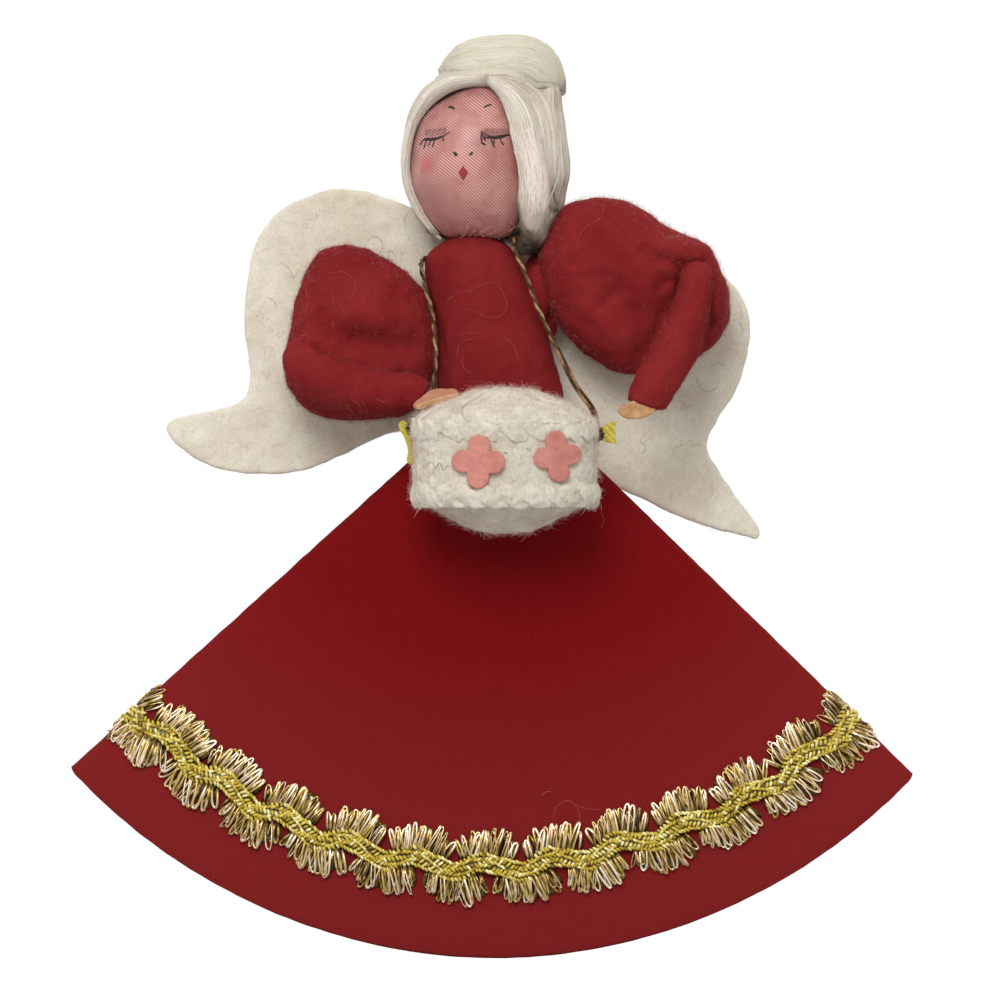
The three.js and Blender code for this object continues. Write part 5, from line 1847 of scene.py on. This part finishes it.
# Painted highlights: pale strands along the bright lower band of the bun.
for name, first, last in (
    ("bun_glints_left", [(452, 61), (462, 60), (474, 59), (481, 58)],
    [(452, 70), (462, 69), (472, 69), (481, 68)]),
    ("bun_glints_right", [(484, 60), (498, 58), (514, 58), (532, 61)],
    [(486, 68), (500, 65), (516, 66), (533, 70)]),
):
    laid(
        name, bun_skin, first, last, 90, front, points=10, width=0.12 * mm, finish=glint_floss,
        lift_most=0.1)
laid("hair_strands_back", head_skin,
     [(500, 74), (460, 86), (426, 118), (406, 160), (410, 200), (426, 232)],
     [(500, 74), (540, 84), (562, 110), (569, 160), (562, 205), (548, 238)], 1300, behind,
     width=0.16 * mm)


def draped(name, first, last, count, points=24):
    """Strands over the sides of the head, between two lines of (column, row, y in mm)."""
    a, b = smooth_line(first, points), smooth_line(last, points)
    paths = []
    for _ in range(count):
        s, lift = chance.random(), chance.uniform(0.03, 0.2) * mm
        swing = chance.normal(0, 1.2) * np.sin(np.linspace(0, chance.uniform(3, 8), points))
        path = []
        for (column, row, y), off in zip(a * (1 - s) + b * s, swing):
            hit, normal, _, _ = head_skin.find_nearest(seen(column, row, (y + off * 0.2) * mm))
            path.append(hit + normal * lift)
        paths.append(path)
    outward = math.copysign(1, first[2][0] - head_column)
    made = strands(name, combed(paths), 0.15 * mm, floss_thickness, 4, (outward, 0, 0.1), 0.6)
    return hand_over(made, "root", "floss", floss)


draped("hair_strands_far_side",
       [
           (556, 86, -5), (568, 110, -5), (572, 140, -5), (573, 170, -4), (570, 200, -3),
           (558, 228, -1),
       ],
       [(556, 86, 12), (568, 110, 14), (572, 140, 14), (572, 170, 13), (566, 200, 12),
       (550, 230, 10)], 620)
draped("hair_strands_near_side",
       [
           (438, 88, -2), (414, 110, -2), (401, 140, -2), (398, 170, -1), (406, 200, 0),
           (428, 230, 1),
       ],
       [(438, 88, 12), (414, 110, 14), (400, 140, 14), (398, 170, 13), (406, 200, 12),
       (428, 232, 9)], 620)
laid("bun_strands_back", bun_skin,
     [(438, 76), (468, 76), (505, 77), (540, 84), (562, 98)],
     [(438, 68), (450, 50), (488, 36), (532, 35), (560, 52), (566, 80)], 420, behind,
     width=0.2 * mm, finish=bun_floss)
# Painted shade: dark strands fill the shaded hollow at the nape, between the chin, the puff and the
# bodice.
laid("nape_shade_strands", head_skin,
     [(500, 229), (508, 238), (516, 247), (522, 256)], [(524, 222), (532, 236), (540, 247),
     (546, 252)], 170, front,
     points=14, stray=2.6, width=0.07 * mm, finish=stray_dark_and_shade, lift_most=0.9)

# %% [markdown]
# ## Stray hairs and frayed threads
# Felt picks up hairs, and the satin frays under the chin. They are strokes too, as the face is,
# each on the piece that it is caught on, and they ride on that piece's body.

# %% Stray hairs and frayed threads
def cast_hairs(name, piece, body, slot, ink, lines, width=0.07 * mm):
    """Long fine hairs caught on a felt, where the picture shows them."""
    return strokes(name, lines, width, ink, 26, 0.1 * mm, skin_of(piece), body, slot, width)


cast_hairs("bodice_hairs", bodice, "root", "red_felt", stray_pink, [
    [
        (448, 292), (468, 291), (485, 283), (497, 284), (504, 295), (507, 306), (502, 315),
        (488, 317), (475, 311), (455, 306),
    ],
    [(456, 336), (470, 333), (485, 334)],
    [(457, 357), (459, 345), (466, 340), (474, 339)],
    [(505, 338), (513, 345), (518, 358), (523, 366)],
    [(446, 304), (449, 299), (453, 295)],
    [(459, 383), (475, 381), (490, 383)],
    [(462, 356), (464, 368), (472, 373)],
])
cast_hairs("right_puff_hairs", right_puff, "root", "red_felt", stray_pink, [
    [(328, 274), (342, 272), (352, 278), (356, 287), (352, 296), (349, 303)],
    [(305, 287), (308, 298)], [(330, 292), (334, 300), (331, 308)],
])
cast_hairs("left_puff_hairs", left_puff, "root", "red_felt", stray_pink, [
    [(604, 202), (603, 212), (598, 220), (588, 226), (581, 234), (576, 243)],
    [(657, 228), (660, 233), (664, 236)], [(562, 240), (560, 236), (556, 238)],
])
right_sleeve = dressed["right_forearm_felt"]
cast_hairs("right_forearm_hairs", right_sleeve, "right_forearm", "red_felt", stray_pink, [
    [(338, 402), (342, 409), (350, 415)], [(345, 402), (351, 410), (356, 415)],
    [(362, 400), (366, 407), (368, 413)], [(352, 400), (360, 405), (362, 414)],
    [(376, 398), (384, 402), (391, 399)],
])
cast_hairs("skirt_hairs", skirt, "root", "red_felt", stray_pink, [
    [(553, 820), (556, 808), (566, 801), (574, 804), (579, 813), (580, 826)],
    [(576, 805), (588, 809), (602, 810)], [(541, 797), (546, 792), (553, 792)],
    [(598, 500), (606, 494), (604, 486)], [(600, 512), (604, 520), (601, 528)],
])
cast_hairs("wing_hairs", wings, "root", "cream_felt", stray_dark_and_shade, [
    [(366, 242), (372, 235), (380, 239), (382, 249), (374, 256)],
    [(384, 252), (391, 250), (396, 258)],
    [(697, 375), (700, 386), (709, 391), (718, 386), (720, 377)],
    [(712, 366), (720, 362), (726, 366)], [(280, 262), (288, 268), (293, 278)],
    [(740, 320), (744, 330), (741, 336)], [(266, 296), (273, 300), (276, 308)],
    [(410, 210), (404, 218), (407, 228)], [(398, 262), (402, 256), (400, 250)],
    [(640, 440), (646, 447), (643, 455)],
], 0.06 * mm)
cast_hairs("drum_hairs", dressed["drum_top_felt"], "drum", "white_felt", stray_dark_and_shade, [
    [(486, 393), (478, 398), (467, 404), (462, 411), (465, 419), (472, 425)],
], 0.09 * mm)
cast_hairs("band_hairs", dressed["drum_band_felt"], "drum", "white_felt", stray_dark_and_shade, [
    [(474, 430), (480, 437), (487, 443)],
    [(426, 466), (432, 462), (436, 468), (440, 463), (444, 470), (448, 465)],
    [(526, 448), (529, 450)], [(503, 452), (508, 454)], [(496, 423), (499, 425)],
    [(513, 427), (516, 428)],
], 0.12 * mm)
strokes("chin_fray", [
    [(462, 230), (464, 234), (462, 238)], [(466, 229), (463, 233), (461, 236)],
    [(471, 226), (475, 231), (476, 238)], [(474, 224), (478, 230), (476, 236)],
    [(480, 226), (481, 232), (485, 235)], [(468, 226), (472, 230), (470, 235)],
    [(505, 222), (512, 226), (519, 228)], [(508, 230), (514, 226), (519, 231)],
    [(520, 232), (527, 235), (530, 231)],
], 0.16 * mm, pink_fringe_and_rim_light, 9, 0.35 * mm)

# %% [markdown]
# ## What the figure hides
# The peg and the card cone keep their solid forms. The four wires are copied, made a little
# thinner and set back, so that the felt covers them. All of these show only from below or inside,
# and each still gets a finish of its own.

# %% Wire, peg and card
steel = Finish("drawn_wire", Metallic=1.0, Roughness=0.38)
steel.paint(
    steel.ramp(steel.speckle(0.6 * mm, 3), (0.3, tone(128, 128, 131)), (0.7, tone(156, 156, 160))))
birch = Finish("turned_birch", Roughness=0.65)
rings = birch.speckle(1.2 * mm, 3, place=birch.stretched((1, 1, 0.15)))
birch.paint(birch.ramp(rings, (0.3, tone(186, 146, 98)), (0.7, tone(214, 182, 138))))
card = Finish("grey_card", Roughness=0.9)
card.paint(
    card.ramp(card.speckle(0.7 * mm, 5), (0.3, tone(150, 136, 112)), (0.7, tone(178, 164, 140))))
card.relief(card.speckle(0.3 * mm, 4), 0.1 * mm, 0.4)
hidden = {"neck_peg": birch.made, "skirt_liner": card.made}
for node, finish in hidden.items():
    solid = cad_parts[node]
    solid.data.materials.clear()
    solid.data.materials.append(finish)
print("solids that still show:", sorted(hidden))
shoulder_back, forearm_back = 2.2 * mm, 1.2 * mm
wire_thinned = 0.1 * mm
for node, body, back in (
    ("left_shoulder_wire", "root", shoulder_back),
    ("right_shoulder_wire", "root", shoulder_back),
    ("left_forearm_wire", "left_forearm", forearm_back),
    ("right_forearm_wire", "right_forearm", forearm_back),
):
    wire = melted(f"{node}_bent", [copied(node)], 0.2 * mm, 2)
    shape(wire, lambda place, normal: place - normal * wire_thinned + Vector((0, back, 0)))
    hand_over(wire, body, "steel_wire", steel.made, node)

# %% [markdown]
# ## Sizes
# Dressing a model mustn't change its size. The difference between the box of the dressed pieces
# and the box of the solids is printed.

# %% Sizes
model_low, model_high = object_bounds()
grown = [round(x / mm, 2) for x in (*(model_low - cad_low), *(model_high - cad_high))]
print("the dressed model's box against the solid one's, mm:", grown)
print("triangles in all:", sum(triangles.values()))
